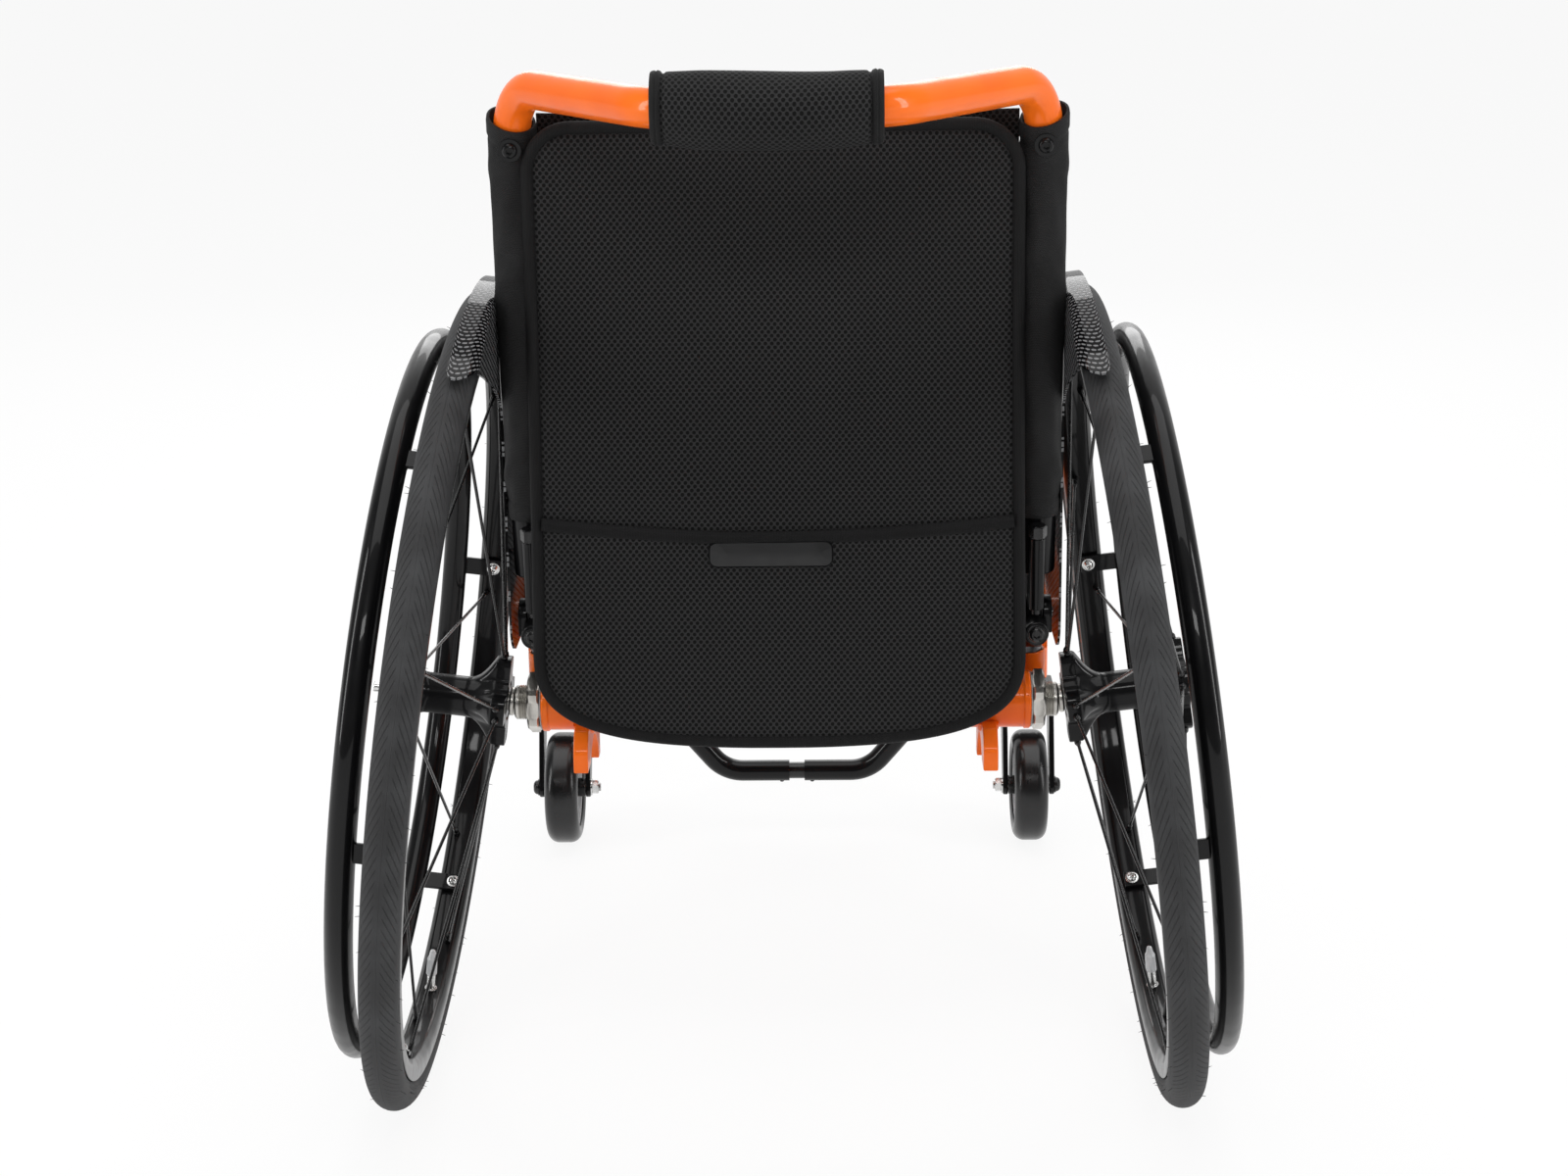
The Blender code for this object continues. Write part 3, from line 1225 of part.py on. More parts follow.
def caster_housing():
    """Stem housing with a short arm to the front leg."""
    body = stem_rod(HOUSING_RADIUS, HOUSING_FOOT, HOUSING_TOP)
    arm = shifted(rod(LEG_X, CASTER_X, ARM_RADIUS, ROUND_SIDES), 0.0, ARM_Y, ARM_Z)
    foot = Vector((LEG_X, LEG_Y, LEG_FOOT_Z))
    down = leg_direction()
    below = swept([foot - down * CLEAR, foot + down * CLEAR], circle(RAIL_RADIUS + GAP, ROUND_SIDES))
    stem = stem_rod(STEM_RADIUS + RUNNING_GAP, HOUSING_FOOT - CLEAR, HOUSING_TOP + CLEAR)
    housing = shifted(body, CASTER_X, STEM_Y, 0.0)
    return largest_body(cut(joined(housing, arm), rail_cutter(), below,
                            shifted(stem, CASTER_X, STEM_Y, 0.0)))


def largest_body(bm):
    """Keep the biggest of the bodies that a cut has left."""
    loose = set(bm.verts)
    groups = []
    while loose:
        group = {loose.pop()}
        edge_of_group = list(group)
        while edge_of_group:
            vert = edge_of_group.pop()
            for edge in vert.link_edges:
                other = edge.other_vert(vert)
                if other in loose:
                    loose.discard(other)
                    group.add(other)
                    edge_of_group.append(other)
        groups.append(group)
    groups.sort(key=len, reverse=True)
    for group in groups[1:]:
        bmesh.ops.delete(bm, geom=list(group), context="VERTS")
    return bm


# Caster fork, in the axes of its stem at floor height


def stem_rod(radius, foot, top):
    """A round bar on the stem's axis."""
    return moved(rod(foot, top, radius, ROUND_SIDES), TO_Z)


def blade(side):
    """One fork blade from the crown to the axle, as a plate."""
    outline = arc((-CASTER_TRAIL, CASTER_RADIUS), BLADE_END, 180.0, 360.0, 8)
    outline += [(BLADE_TOP_HALF, CROWN_FOOT), (BLADE_TOP_HALF, CROWN_TOP),
                (-BLADE_TOP_HALF, CROWN_TOP), (-BLADE_TOP_HALF, CROWN_FOOT)]
    near = side * BLADE_INNER
    far = side * (BLADE_INNER + BLADE_THICKNESS)
    return prism(outline, min(near, far), max(near, far))


def caster_fork():
    """Crown, two blades and the stem that turns in the housing."""
    half = BLADE_INNER + SINK
    crown = box((-half, -BLADE_TOP_HALF, CROWN_FOOT), (half, BLADE_TOP_HALF, CROWN_TOP))
    root = CROWN_TOP - SINK
    stem = stem_rod(STEM_RADIUS, root, STEM_TOP)
    collar = stem_rod(FORK_COLLAR_RADIUS, root, HOUSING_FOOT - GAP)
    hole = shifted(rod(-CLEAR, CLEAR, CASTER_AXLE_RADIUS + GAP, ROUND_SIDES),
                   0.0, -CASTER_TRAIL, CASTER_RADIUS)
    return cut(joined(crown, blade(1), blade(-1), collar, stem), hole)


# Caster wheel pieces, in the axes of the caster's axle


def caster_tyre():
    """Solid tyre with a flat tread and round shoulders."""
    half = CASTER_WIDTH / 2
    inner_half = half - CASTER_TYRE_TAPER
    ridge = [(half - CASTER_SHOULDER * (1 - cos(radians(a))),
              CASTER_RADIUS - CASTER_SHOULDER * (1 - sin(radians(a)))) for a in (0.0, 45.0, 90.0)]
    outline = [(-inner_half, CASTER_TYRE_INNER), (inner_half, CASTER_TYRE_INNER)] + ridge
    outline += [(-x, r) for x, r in reversed(ridge)]
    return turned(outline, CASTER_SIDES)


def caster_hub():
    """Wheel centre that holds the tyre, with a spacer on each side."""
    half = CASTER_HUB_WIDTH / 2
    spacer = CASTER_HUB_HALF
    bore = CASTER_AXLE_RADIUS + RUNNING_GAP
    outer = CASTER_TYRE_INNER - GAP
    web = half - CASTER_DISH
    lip = outer - CASTER_LIP
    right = [(half, outer), (half, lip), (web, CASTER_SPACER), (spacer, CASTER_SPACER), (spacer, bore)]
    left = [(-x, r) for x, r in reversed(right)]
    return turned(left + right, CASTER_SIDES)


def caster_axle():
    """Bolt through both blades: a nut on the threaded inner end and a dome on the outer one."""
    seat = BLADE_INNER + BLADE_THICKNESS + GAP
    washer = seat + WASHER_THICKNESS
    nut = washer + CASTER_NUT_LENGTH
    thread = nut + CASTER_THREAD_PROUD
    dome = washer + CASTER_DOME_HEIGHT
    outline = [(-thread, 0.0), (-thread, CASTER_AXLE_RADIUS), (-nut, CASTER_AXLE_RADIUS),
               (-nut, CASTER_NUT_RADIUS), (-washer, CASTER_NUT_RADIUS), (-washer, CASTER_WASHER),
               (-seat, CASTER_WASHER), (-seat, CASTER_AXLE_RADIUS), (seat, CASTER_AXLE_RADIUS),
               (seat, CASTER_WASHER), (washer, CASTER_WASHER), (washer, CASTER_NUT_RADIUS),
               (dome, CASTER_NUT_RADIUS / 2), (dome, 0.0)]
    return turned(outline, SMALL_SIDES)


# Footrest, in the chair's axes


def footrest_tube():
    """Tube that slides into the front leg and turns in to the middle of the chair."""
    foot = Vector((LEG_X, LEG_Y, LEG_FOOT_Z))
    down = leg_direction()
    start = foot - down * FOOT_OVERLAP
    knee = foot + down * ((LEG_FOOT_Z - FOOT_UPPER_Z) / -down.z)
    path = rounded_path([start, knee, (FOOT_CORNER_X, FOOT_Y, FOOT_Z), (FOOT_GAP_HALF, FOOT_Y, FOOT_Z)],
                        [FOOT_UPPER_BEND, FOOT_BEND], BEND_STEPS)
    body = swept(path, circle(FOOT_TUBE_RADIUS, SMALL_SIDES), (0.0, 1.0, 0.0))
    bore = shifted(rod(FOOT_GAP_HALF - CLEAR, FOOT_ROD_HALF + GAP, FOOT_BORE, SMALL_SIDES),
                   0.0, FOOT_Y, FOOT_Z)
    return cut(body, bore)


def footrest_connector():
    """Rod that joins the ends of both footrest tubes."""
    return shifted(rod(-FOOT_ROD_HALF, FOOT_ROD_HALF, FOOT_ROD_RADIUS, SMALL_SIDES),
                   0.0, FOOT_Y, FOOT_Z)


def main():
    clear_scene()
    chair = add_empty("chair", (0.0, AXLE_Y, 0.0))
    both = {1: chair, -1: chair}
    wheels = {side: add_empty(side_name("wheel_axis", side), (side * WHEEL_X, 0.0, WHEEL_Z), chair,
                              (0.0, -radians(CAMBER), 0.0 if side > 0 else pi))
              for side in (1, -1)}
    add_both("tyre", tyre, "rubber", wheels, MIRROR_Y)
    add_both("rim", rim, "black_metal", wheels, MIRROR_Y)
    add_both("hub", hub, "black_metal", wheels, MIRROR_Y)
    add_both("handrim", handrim, "black_metal", wheels, MIRROR_Y)
    add_both("quick_release_axle", quick_release_axle, "silver", wheels, MIRROR_Y)
    add_both("release_button", release_button, "silver", wheels, MIRROR_Y)
    add_piece("axle_tube", axle_tube(), "orange", chair)
    add_both("camber_sleeve", camber_sleeve, "silver", both)
    add_both("camber_nut", camber_nut, "silver", both)
    add_both("anti_tip_bracket", anti_tip_bracket, "orange", both)
    add_both("seat_rail", seat_rail, "orange", both)
    add_both("height_insert", height_insert, "grey_metal", both)
    add_piece("front_cross_tube", front_cross_tube(), "orange", chair)
    add_piece("seat_sling", seat_sling(), "fabric", chair)
    add_both("side_guard", side_guard, "carbon", both)
    add_both("pivot_bracket", pivot_bracket, "black_metal", both)
    add_both("pivot_bolt", pivot_bolt, "black_metal", both)
    add_both("hinge_pin", hinge_pin, "silver", both)
    hinge = add_empty("backrest_axis", (0.0, HINGE_Y, HINGE_Z), chair, (radians(RECLINE), 0.0, 0.0))
    backs = {1: hinge, -1: hinge}
    add_both("back_post", back_post, "black_metal", backs)
    add_both("back_sleeve", back_sleeve, "fabric", backs)
    add_both("cover_bolt", cover_bolt, "black_metal", backs)
    add_both("stop_tube", stop_tube, "black_metal", backs)
    add_both("stop_screw", stop_screw, "black_metal", backs)
    add_piece("push_bar", push_bar(), "orange", hinge)
    add_piece("grip_sleeve", grip_sleeve(), "fabric", hinge)
    add_piece("back_panel", back_panel(), "fabric", hinge)
    add_piece("back_upholstery", back_upholstery(), "fabric", hinge)
    add_both("caster_housing", caster_housing, "orange", both)
    stems = {side: add_empty(side_name("caster_stem_axis", side), (side * CASTER_X, STEM_Y, 0.0), chair)
             for side in (1, -1)}
    casters = {side: add_empty(side_name("caster_wheel_axis", side),
                               (0.0, -CASTER_TRAIL, CASTER_RADIUS), stems[side])
               for side in (1, -1)}
    add_both("caster_fork", caster_fork, "black_metal", stems)
    add_both("caster_tyre", caster_tyre, "rubber", casters)
    add_both("caster_hub", caster_hub, "rim_grey", casters)
    add_both("caster_axle", caster_axle, "silver", casters)
    add_both("footrest_tube", footrest_tube, "black_metal", both)
    add_piece("footrest_connector", footrest_connector(), "black_metal", chair)


main()
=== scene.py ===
from math import asin, copysign, cos, degrees, exp, pi, radians, sin, sqrt, tan
from random import Random

import bmesh
import bpy
from mathutils import Matrix, Vector


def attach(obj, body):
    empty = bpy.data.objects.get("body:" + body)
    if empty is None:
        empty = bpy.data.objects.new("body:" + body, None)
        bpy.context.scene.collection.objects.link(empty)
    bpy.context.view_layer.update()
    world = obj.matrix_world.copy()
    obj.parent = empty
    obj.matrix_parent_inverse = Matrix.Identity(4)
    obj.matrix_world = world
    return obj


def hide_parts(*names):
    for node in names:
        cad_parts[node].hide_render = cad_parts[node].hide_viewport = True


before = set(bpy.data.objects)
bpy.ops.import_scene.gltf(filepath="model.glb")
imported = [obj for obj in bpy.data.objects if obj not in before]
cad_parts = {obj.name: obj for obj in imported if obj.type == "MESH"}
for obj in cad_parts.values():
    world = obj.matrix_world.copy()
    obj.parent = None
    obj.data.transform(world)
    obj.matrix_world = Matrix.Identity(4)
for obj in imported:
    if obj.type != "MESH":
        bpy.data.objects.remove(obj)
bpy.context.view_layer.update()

# Sides of round shapes, steps of bends and welds, and the angle from which an edge is sharp
RING_SIDES = 160
ROUND_SIDES = 48
SMALL_SIDES = 36
BEND_STEPS = 14
WELD_STEPS = 72
SMOOTH_ANGLE = 38.0

# The chair's axes start on the floor under the rear axle line
AXLE_Y = -0.1040495

# Room left between pieces that sit on each other
CLEARANCE = 0.0003

# Depth of the turning marks on machined metal
TURNING_DEPTH = 0.00002

# Drive wheels, in their own axes
WHEEL_X = 0.24393
WHEEL_Z = 0.2929
CAMBER = 7.0
TYRE_RING = 0.2817
TYRE_SECTION = 0.0133
TYRE_WRAP = 128.0
TYRE_ROWS = 28
RIM_INNER = 0.258
RIM_BED = 0.266
RIM_FLANGE = 0.2735
RIM_HALF = 0.0122
RIM_WALL = 0.0018
RIM_ROUNDING = 0.003
HANDRIM_RADIUS = 0.2527
HANDRIM_TUBE = 0.0094
HANDRIM_OFFSET = 0.0313
HANDRIM_ROWS = 24
TAB_COUNT = 6
TAB_FIRST = 25.0
TAB_WIDTH = 0.014
TAB_OUTER = 0.2563
TAB_THICKNESS = 0.003
TAB_INNER_END = -0.006
HUB_HALF = 0.044
HUB_FLANGE = 0.033
HUB_VALLEY = 0.0205
SPOKE_RADIUS = 0.00115
SPOKE_SIDE = 0.039
SPOKE_ROOT = 0.029
SPOKE_REACH = 0.2577
SPOKE_PAIR = 4.0
SPOKE_SPLAY = 22.5
SPOKE_RIM_OFFSET = 0.004
NIPPLE_LENGTH = 0.012
NIPPLE_RADIUS = 0.0021
COLLAR_LENGTH = 0.006
VALVE_ANGLE = 170.0
VALVE_LENGTH = 0.036
TREAD_PITCH = 0.0085
TREAD_SLANT = 2.1
TREAD_DEPTH = 0.00070
TREAD_SHADE = 0.35
LINE_HEIGHT = 0.00030
BEAD_LINE = 0.0240
HAIR_COUNT = 90
HAIR_RADIUS = 0.00028
HAIR_LENGTH = 0.0034
AXLE_HEAD = 0.010
AXLE_HEAD_END = 0.0473
BUTTON_RADIUS = 0.004
BUTTON_END = 0.0538

# Axle line
AXLE_TUBE_Z = 0.2865
AXLE_TUBE_HALF = 0.1755
AXLE_TUBE_RADIUS = 0.020
AXLE_COLLAR = 0.021
AXLE_COLLAR_LENGTH = 0.0045
THREAD_RADIUS = 0.0125
THREAD_END = 0.1955
THREAD_PITCH = 0.0015
THREAD_DEPTH = 0.0009
SLEEVE_NECK = 0.01025
NUT_THICKNESS = 0.0092
NUT_CORNERS = 0.023
NUT_FLATS = 0.0197
NUT_INSET = 0.001
ARCH_X = 0.14525
ARCH_WIDTH = 0.0105
ARCH_RADIUS = 0.037
ARCH_LEG = 0.011
ARCH_Y = 0.003
ARCH_Z = 0.222
ARCH_REAR_FOOT = 0.248
ARCH_FRONT_FOOT = 0.229
ARCH_TOP = 0.276
ARCH_SHOULDER = 0.264

# Seat frame
RAIL_X = 0.174
RAIL_RADIUS = 0.015
RAIL_REAR_Z = 0.2965
RAIL_SLOPE = 11.5
RAIL_CORNER_Y = 0.425
RAIL_BEND = 0.060
LEG_X = 0.150
LEG_Y = 0.478
LEG_FOOT_Z = 0.165
BOSS_Y = 0.0355
BOSS_FOOT = 0.268
BOSS_TOP = 0.314
CROSS_TUBE_RADIUS = 0.0125
CROSS_TUBE_Y = 0.330
CROSS_TUBE_DROP = 0.010
GUARD_TAB_Y = (0.085, 0.235)
GUARD_TAB_WIDTH = 0.020
GUARD_TAB_RISE = 0.030
GUARD_TAB_DROP = 0.006
INSERT_RADIUS = 0.0125
INSERT_FOOT = 0.286
INSERT_TOP = 0.3222
SLING_HALF = 0.178
SLING_REAR = 0.056
SLING_FRONT = 0.365
SLING_THICKNESS = 0.003
SLING_SAG = 0.005
SLING_HEM = 0.012

# Backrest pivot
HINGE_Z = 0.352
POST_X = 0.1775
PIVOT_BOSS_Z = 0.345
PIVOT_BOSS_RADIUS = 0.0088
PIVOT_BOSS_REAR = -0.030
PIVOT_BOSS_FRONT = 0.010
PIVOT_WEB_WIDTH = 0.017
CHEEK_RADIUS = 0.0125
CHEEK_INNER = 0.006
CHEEK_OUTER = 0.0123
PIN_HEAD = 0.0065

# Backrest, measured along the posts from the hinge
RECLINE = 7.0
POST_RADIUS = 0.0142
POST_FOOT = 0.034
POST_TOP = 0.3472
TONGUE_HALF = 0.0057
TONGUE_RADIUS = 0.011
SLEEVE_FOOT = 0.078
SLEEVE_TOP = 0.3557
SLEEVE_SLANT = 0.0120
SLEEVE_HIGH_SIDE = 55.0
SLEEVE_OUTER = 0.0163
SLEEVE_THICKNESS = 0.0018
SLEEVE_ROWS = 110
SLEEVE_SIDES = 64
SLEEVE_HEM = 0.014
SOFT_WRINKLE = 0.0008
SHARP_WRINKLE = 0.0016
COVER_BOLT_AT = 0.3445
STOP_OFFSET = 0.0205
STOP_RADIUS = 0.00545
STOP_FOOT = 0.012
STOP_TOP = 0.066
STOP_SCREW_RADIUS = 0.003
STOP_HEAD_CORNERS = 0.0065
STOP_HEAD_LENGTH = 0.009

# Push bar and its padded sleeve
BAR_RADIUS = 0.0127
BAR_Z = 0.733
BAR_BENDS = (0.040, 0.065, 0.100, 0.065, 0.040)
BAR_CORNER_X = 0.0765
BAR_CORNER_Y = -0.1925
BAR_CENTRE_Y = -0.226
GRIP_HALF = 0.0710
GRIP_MIDDLE = -0.0033
GRIP_RADIUS = 0.0235
GRIP_END_RADIUS = 0.0215
GRIP_HEM = 0.0075
GRIP_ROWS = 90
GRIP_SIDES = 64

# Back cover
PANEL_TOP = 0.7110
PANEL_FOOT = 0.2696
PANEL_SHIFT = -0.0035
PANEL_HALF = 0.168
PANEL_LOW_HALF = 0.1724
PANEL_CORNER = 0.035
PANEL_ROUND_FROM = 0.340
PANEL_ROUND_POWER = 3.0
PANEL_THICKNESS = 0.005
PANEL_KICK = 0.0455
PANEL_KICK_FROM = 0.5996
PANEL_KICK_POWER = 1.6
PANEL_INSIDE_ROWS = 26
SPINE_MARGIN = 0.130
POCKET_Z = 0.4210
POCKET_RISE = 0.0115
POCKET_STEP = 0.0022
POCKET_TAPE_HALF = 0.0052
POCKET_TAPE_THICKNESS = 0.0026
PATCH_X = -0.0048
PATCH_Z = 0.4095
PATCH_HALF = 0.0430
PATCH_HALF_HEIGHT = 0.0090
PATCH_CORNER = 0.0050
PATCH_THICKNESS = 0.0012
UPHOLSTERY_HALF = 0.1609
UPHOLSTERY_FOOT = 0.045
UPHOLSTERY_TOP = 0.3652
UPHOLSTERY_THICKNESS = 0.005
UPHOLSTERY_SAG = 0.006

# Side guards
GUARD_X = 0.1942
GUARD_THICKNESS = 0.0016
GUARD_RADIUS = 0.303
GUARD_REAR_ANGLE = -29.0
GUARD_FRONT_ANGLE = 36.0
GUARD_EDGE_OFFSET = 0.003
GUARD_BEND = 0.0065
GUARD_REAR_Y = -0.015
GUARD_FRONT_FOOT_Y = 0.262
GUARD_FOOT_Z = 0.325
GUARD_SPLIT_Z = 0.500
GUARD_CORNER = 0.025
GUARD_EDGE_RISE = 0.2018
GUARD_EDGE_POWER = 0.60
GUARD_END_SHARE = 0.45
GUARD_END_CORNER = 1.9
GUARD_END_SLANT = 4.0

# Casters and footrest
CASTER_X = 0.2105
CASTER_RADIUS = 0.050
CASTER_WIDTH = 0.030
CASTER_TYRE_INNER = 0.036
CASTER_SHOULDER = 0.010
CASTER_TRAIL = 0.030
CASTER_HUB_WIDTH = 0.024
CASTER_SPACER_END = 0.0182
BLADE_INNER = 0.0187
BLADE_THICKNESS = 0.0046
BLADE_OUTER = BLADE_INNER + BLADE_THICKNESS
BLADE_END = 0.009
BLADE_TOP_HALF = 0.017
CROWN_FOOT = 0.119
CROWN_TOP = 0.139
STEM_RADIUS = 0.0065
STEM_Y = 0.483
HOUSING_RADIUS = 0.0182
HOUSING_FOOT = 0.1435
HOUSING_TOP = 0.190
ARM_RADIUS = 0.012
ARM_Y = 0.480
ARM_Z = 0.176
CASTER_WASHER = 0.0075
CASTER_NUT_CORNERS = 0.0065
CASTER_NUT_LENGTH = 0.0055
CASTER_AXLE_RADIUS = 0.004
FOOT_TUBE_RADIUS = 0.0095
FOOT_Z = 0.0513
FOOT_Y = 0.490
FOOT_CORNER_X = 0.066
FOOT_UPPER_Z = 0.152
FOOT_GAP_HALF = 0.007
FOOT_ROD_RADIUS = 0.0075

# Bolts: radius of washer and head, height of head, thickness of washer, radius of socket
TAB_BOLT = (0.0052, 0.0038, 0.0040, 0.0009, 0.0018)
GUARD_SCREW = (0.0050, 0.0036, 0.0018, 0.0006, 0.0015)
PIVOT_BOLT = (0.0068, 0.0058, 0.0028, 0.0012, 0.0026)
COVER_BOLT = (0.0078, 0.0052, 0.0031, 0.0013, 0.0022)
CASTER_BOLT = (CASTER_WASHER, CASTER_NUT_CORNERS, 0.0040, 0.0012, 0.0022)
CONNECTOR_SCREW = (0.0024, 0.0020, 0.0012, 0.0002, 0.0010)

# Folds of the rear panel: X, height, lean from upright, half width, half length, depth
FOLDS = (
    (0.000, 0.640, 90.0, 0.045, 0.110, -0.0040),
    (-0.070, 0.450, -55.0, 0.018, 0.070, 0.0040),
    (0.035, 0.520, 15.0, 0.022, 0.080, 0.0040),
    (0.095, 0.470, 60.0, 0.016, 0.050, 0.0030),
    (-0.100, 0.560, 10.0, 0.030, 0.090, 0.0015),
    (0.110, 0.600, -12.0, 0.026, 0.080, 0.0015),
    (-0.020, 0.470, 70.0, 0.014, 0.045, -0.0020),
)

# Cross-section of the panel's edge: distance from the edge, and how far it stands back
PANEL_EDGE = (
    (0.0000, 0.0022), (0.0004, 0.0036), (0.0014, 0.0050), (0.0030, 0.0059), (0.0048, 0.0060),
    (0.0064, 0.0053), (0.0076, 0.0038), (0.0086, 0.0034), (0.0098, 0.0042), (0.0118, 0.0050),
    (0.0150, 0.0053),
)

# Holes of the knitted mesh, and flecks of the carbon sheet
MESH_PITCH = 0.00435
MESH_ROW = 0.0027
MESH_HOLE_WIDTH = 0.00118
MESH_HOLE_HEIGHT = 0.00132
FLECK_ROW = 0.0046
FLECK_PITCH = 0.0046
FLECK_STEP = 0.50
FLECK_SLANT = -0.15
FLECK_HALF_LENGTH = 0.0019
FLECK_HALF_WIDTH = 0.0010

MIRROR_X = Matrix.Scale(-1, 4, (1, 0, 0))
TO_Y = Matrix.Rotation(pi / 2, 4, "Z")
TO_Z = Matrix.Rotation(-pi / 2, 4, "Y")
LEG_FOOT = Vector((LEG_X, LEG_Y, LEG_FOOT_Z))


# Materials: a field is a number that changes over the surface


class Field:
    """A value made by shader nodes, with the arithmetic of Python."""

    def __init__(self, tree, socket):
        self.tree = tree
        self.socket = socket

    def math(self, operation, *others):
        node = self.tree.node("ShaderNodeMath", operation=operation)
        for place, value in zip(node.inputs, (self, *others)):
            self.tree.feed(place, value)
        return Field(self.tree, node.outputs[0])

    def __add__(self, other):
        return self.math("ADD", other)

    def __sub__(self, other):
        return self.math("SUBTRACT", other)

    def __mul__(self, other):
        return self.math("MULTIPLY", other)

    def __truediv__(self, other):
        return self.math("DIVIDE", other)

    def __mod__(self, other):
        return self.math("FLOORED_MODULO", other)

    def size(self):
        return self.math("ABSOLUTE")

    def whole(self):
        return self.math("FLOOR")

    def top(self, other):
        return self.math("MAXIMUM", other)

    def from_to(self, start, end, low=0.0, high=1.0):
        """Go smoothly from low at start to high at end."""
        node = self.tree.node("ShaderNodeMapRange", interpolation_type="SMOOTHSTEP")
        for name, value in (("Value", self), ("From Min", start), ("From Max", end),
                            ("To Min", low), ("To Max", high)):
            self.tree.feed(node.inputs[name], value)
        return Field(self.tree, node.outputs["Result"])


class Tree:
    """The shader nodes of a material or of the world."""

    def __init__(self, owner):
        owner.use_nodes = True
        self.nodes = owner.node_tree.nodes
        self.links = owner.node_tree.links

    def node(self, kind, **settings):
        node = self.nodes.new(kind)
        for label, value in settings.items():
            setattr(node, label, value)
        return node

    def feed(self, place, value):
        if isinstance(value, Field):
            self.links.new(value.socket, place)
        else:
            place.default_value = value

    def seen(self):
        """1 for the camera's rays, and 1 for those and what gloss or glass sends on."""
        path = self.node("ShaderNodeLightPath").outputs
        kinds = ("Is Camera Ray", "Is Glossy Ray", "Is Transmission Ray")
        camera, glossy, clear = (Field(self, path[kind]) for kind in kinds)
        return camera, camera.top(glossy).top(clear)


class Surface(Tree):
    """A procedural material: its shader's plain values, and the fields that feed the rest."""

    def __init__(self, name, colour, roughness, metallic=0.0, **values):
        self.material = bpy.data.materials.new(name)
        super().__init__(self.material)
        self.shader = self.nodes["Principled BSDF"]
        self.shader.inputs["Base Color"].default_value = (*colour, 1.0)
        self.shader.inputs["Roughness"].default_value = roughness
        self.shader.inputs["Metallic"].default_value = metallic
        for label, value in values.items():
            label = label.replace("_", " ").title().replace("Ior", "IOR")
            self.shader.inputs[label].default_value = value
        self.material.diffuse_color = (*colour, 1.0)

    def flat(self):
        """The two distances of the UV map, in metres."""
        node = self.node("ShaderNodeUVMap", uv_map="UVMap")
        parts = self.node("ShaderNodeSeparateXYZ")
        self.links.new(node.outputs[0], parts.inputs[0])
        return Field(self, parts.outputs[0]), Field(self, parts.outputs[1])

    def space(self):
        """The point in the object's own axes, in metres."""
        return Field(self, self.node("ShaderNodeTexCoord").outputs["Object"])

    def noise(self, scale, detail=3.0, at=None):
        """Soft noise from 0 to 1, with scale turns in a metre."""
        node = self.node("ShaderNodeTexNoise")
        self.feed(node.inputs["Vector"], at or self.space())
        node.inputs["Scale"].default_value = scale
        node.inputs["Detail"].default_value = detail
        return Field(self, node.outputs["Fac"])

    def colour(self, low, high, share):
        """Base colour from low to high as the field goes from 0 to 1."""
        node = self.node("ShaderNodeMix", data_type="RGBA")
        self.feed(node.inputs["Factor"], share)
        colours = [socket for socket in node.inputs if socket.type == "RGBA"]
        colours[0].default_value = (*low, 1.0)
        colours[1].default_value = (*high, 1.0)
        result = [socket for socket in node.outputs if socket.type == "RGBA"][0]
        self.links.new(result, self.shader.inputs["Base Color"])

    def rough(self, share):
        self.feed(self.shader.inputs["Roughness"], share)

    def relief(self, height):
        """Bump from a field of heights in metres."""
        node = self.node("ShaderNodeBump")
        node.inputs["Strength"].default_value = 1.0
        node.inputs["Distance"].default_value = 1.0
        self.feed(node.inputs["Height"], height)
        self.links.new(node.outputs[0], self.shader.inputs["Normal"])
        return self


def paint(name, colour, shade):
    """Gloss powder coat with a faint orange peel and colour drift."""
    surface = Surface(name, colour, 0.34, coat_weight=0.32, coat_roughness=0.05,
                      specular_ior_level=0.10)
    drift = surface.noise(9.0)
    surface.colour(shade, colour, drift.from_to(0.35, 0.65))
    surface.rough(surface.noise(60.0).from_to(0.3, 0.7, 0.30, 0.40))
    return surface.relief(surface.noise(420.0, 2.0) * 0.000008)


def metal(name, colour, roughness, grain):
    """Machined metal whose turning marks run round the piece."""
    surface = Surface(name, colour, roughness, 1.0)
    marks = surface.noise(grain, 2.0, at=surface.flat()[0])
    shade = tuple(part * 0.72 for part in colour)
    surface.colour(shade, colour, surface.noise(70.0).from_to(0.3, 0.7))
    surface.rough(marks.from_to(0.2, 0.8, roughness * 0.75, roughness * 1.3))
    return surface.relief(marks * TURNING_DEPTH)


def tyre_rubber():
    """Charcoal tread with a centre seam, slanting grooves darkened with painted shade, and dust in
    the middle.
    """
    surface = Surface("tyre_rubber", (0.045, 0.046, 0.048), 0.78)
    u, v = surface.flat()
    out = (u - TYRE_SECTION * radians(TYRE_WRAP)).size()
    slant = v + out * TREAD_SLANT
    groove = ((slant % TREAD_PITCH) - TREAD_PITCH / 2).size().from_to(0.0003, 0.0010, 1.0, 0.0)
    groove = groove * (out.from_to(0.0022, 0.0036) * out.from_to(0.0115, 0.0150, 1.0, 0.0))
    seam = out.from_to(0.00015, 0.0005, 1.0, 0.0)
    bead_line = (out - BEAD_LINE).size().from_to(0.0003, 0.0007, 1.0, 0.0)
    speck = surface.noise(900.0, 2.0)
    drift = surface.noise(35.0, 4.0)
    # Colour share: dust from the drift and specks, less painted shade in the grooves
    dust_and_groove_shade = drift.from_to(0.30, 0.72) * 0.8 + speck * 0.2 - groove * TREAD_SHADE
    surface.colour((0.015, 0.015, 0.016), (0.046, 0.047, 0.049), dust_and_groove_shade)
    surface.rough(drift.from_to(0.3, 0.7, 0.70, 0.88))
    lines = (seam + bead_line) * LINE_HEIGHT
    return surface.relief(lines - groove * TREAD_DEPTH + speck * 0.00007)


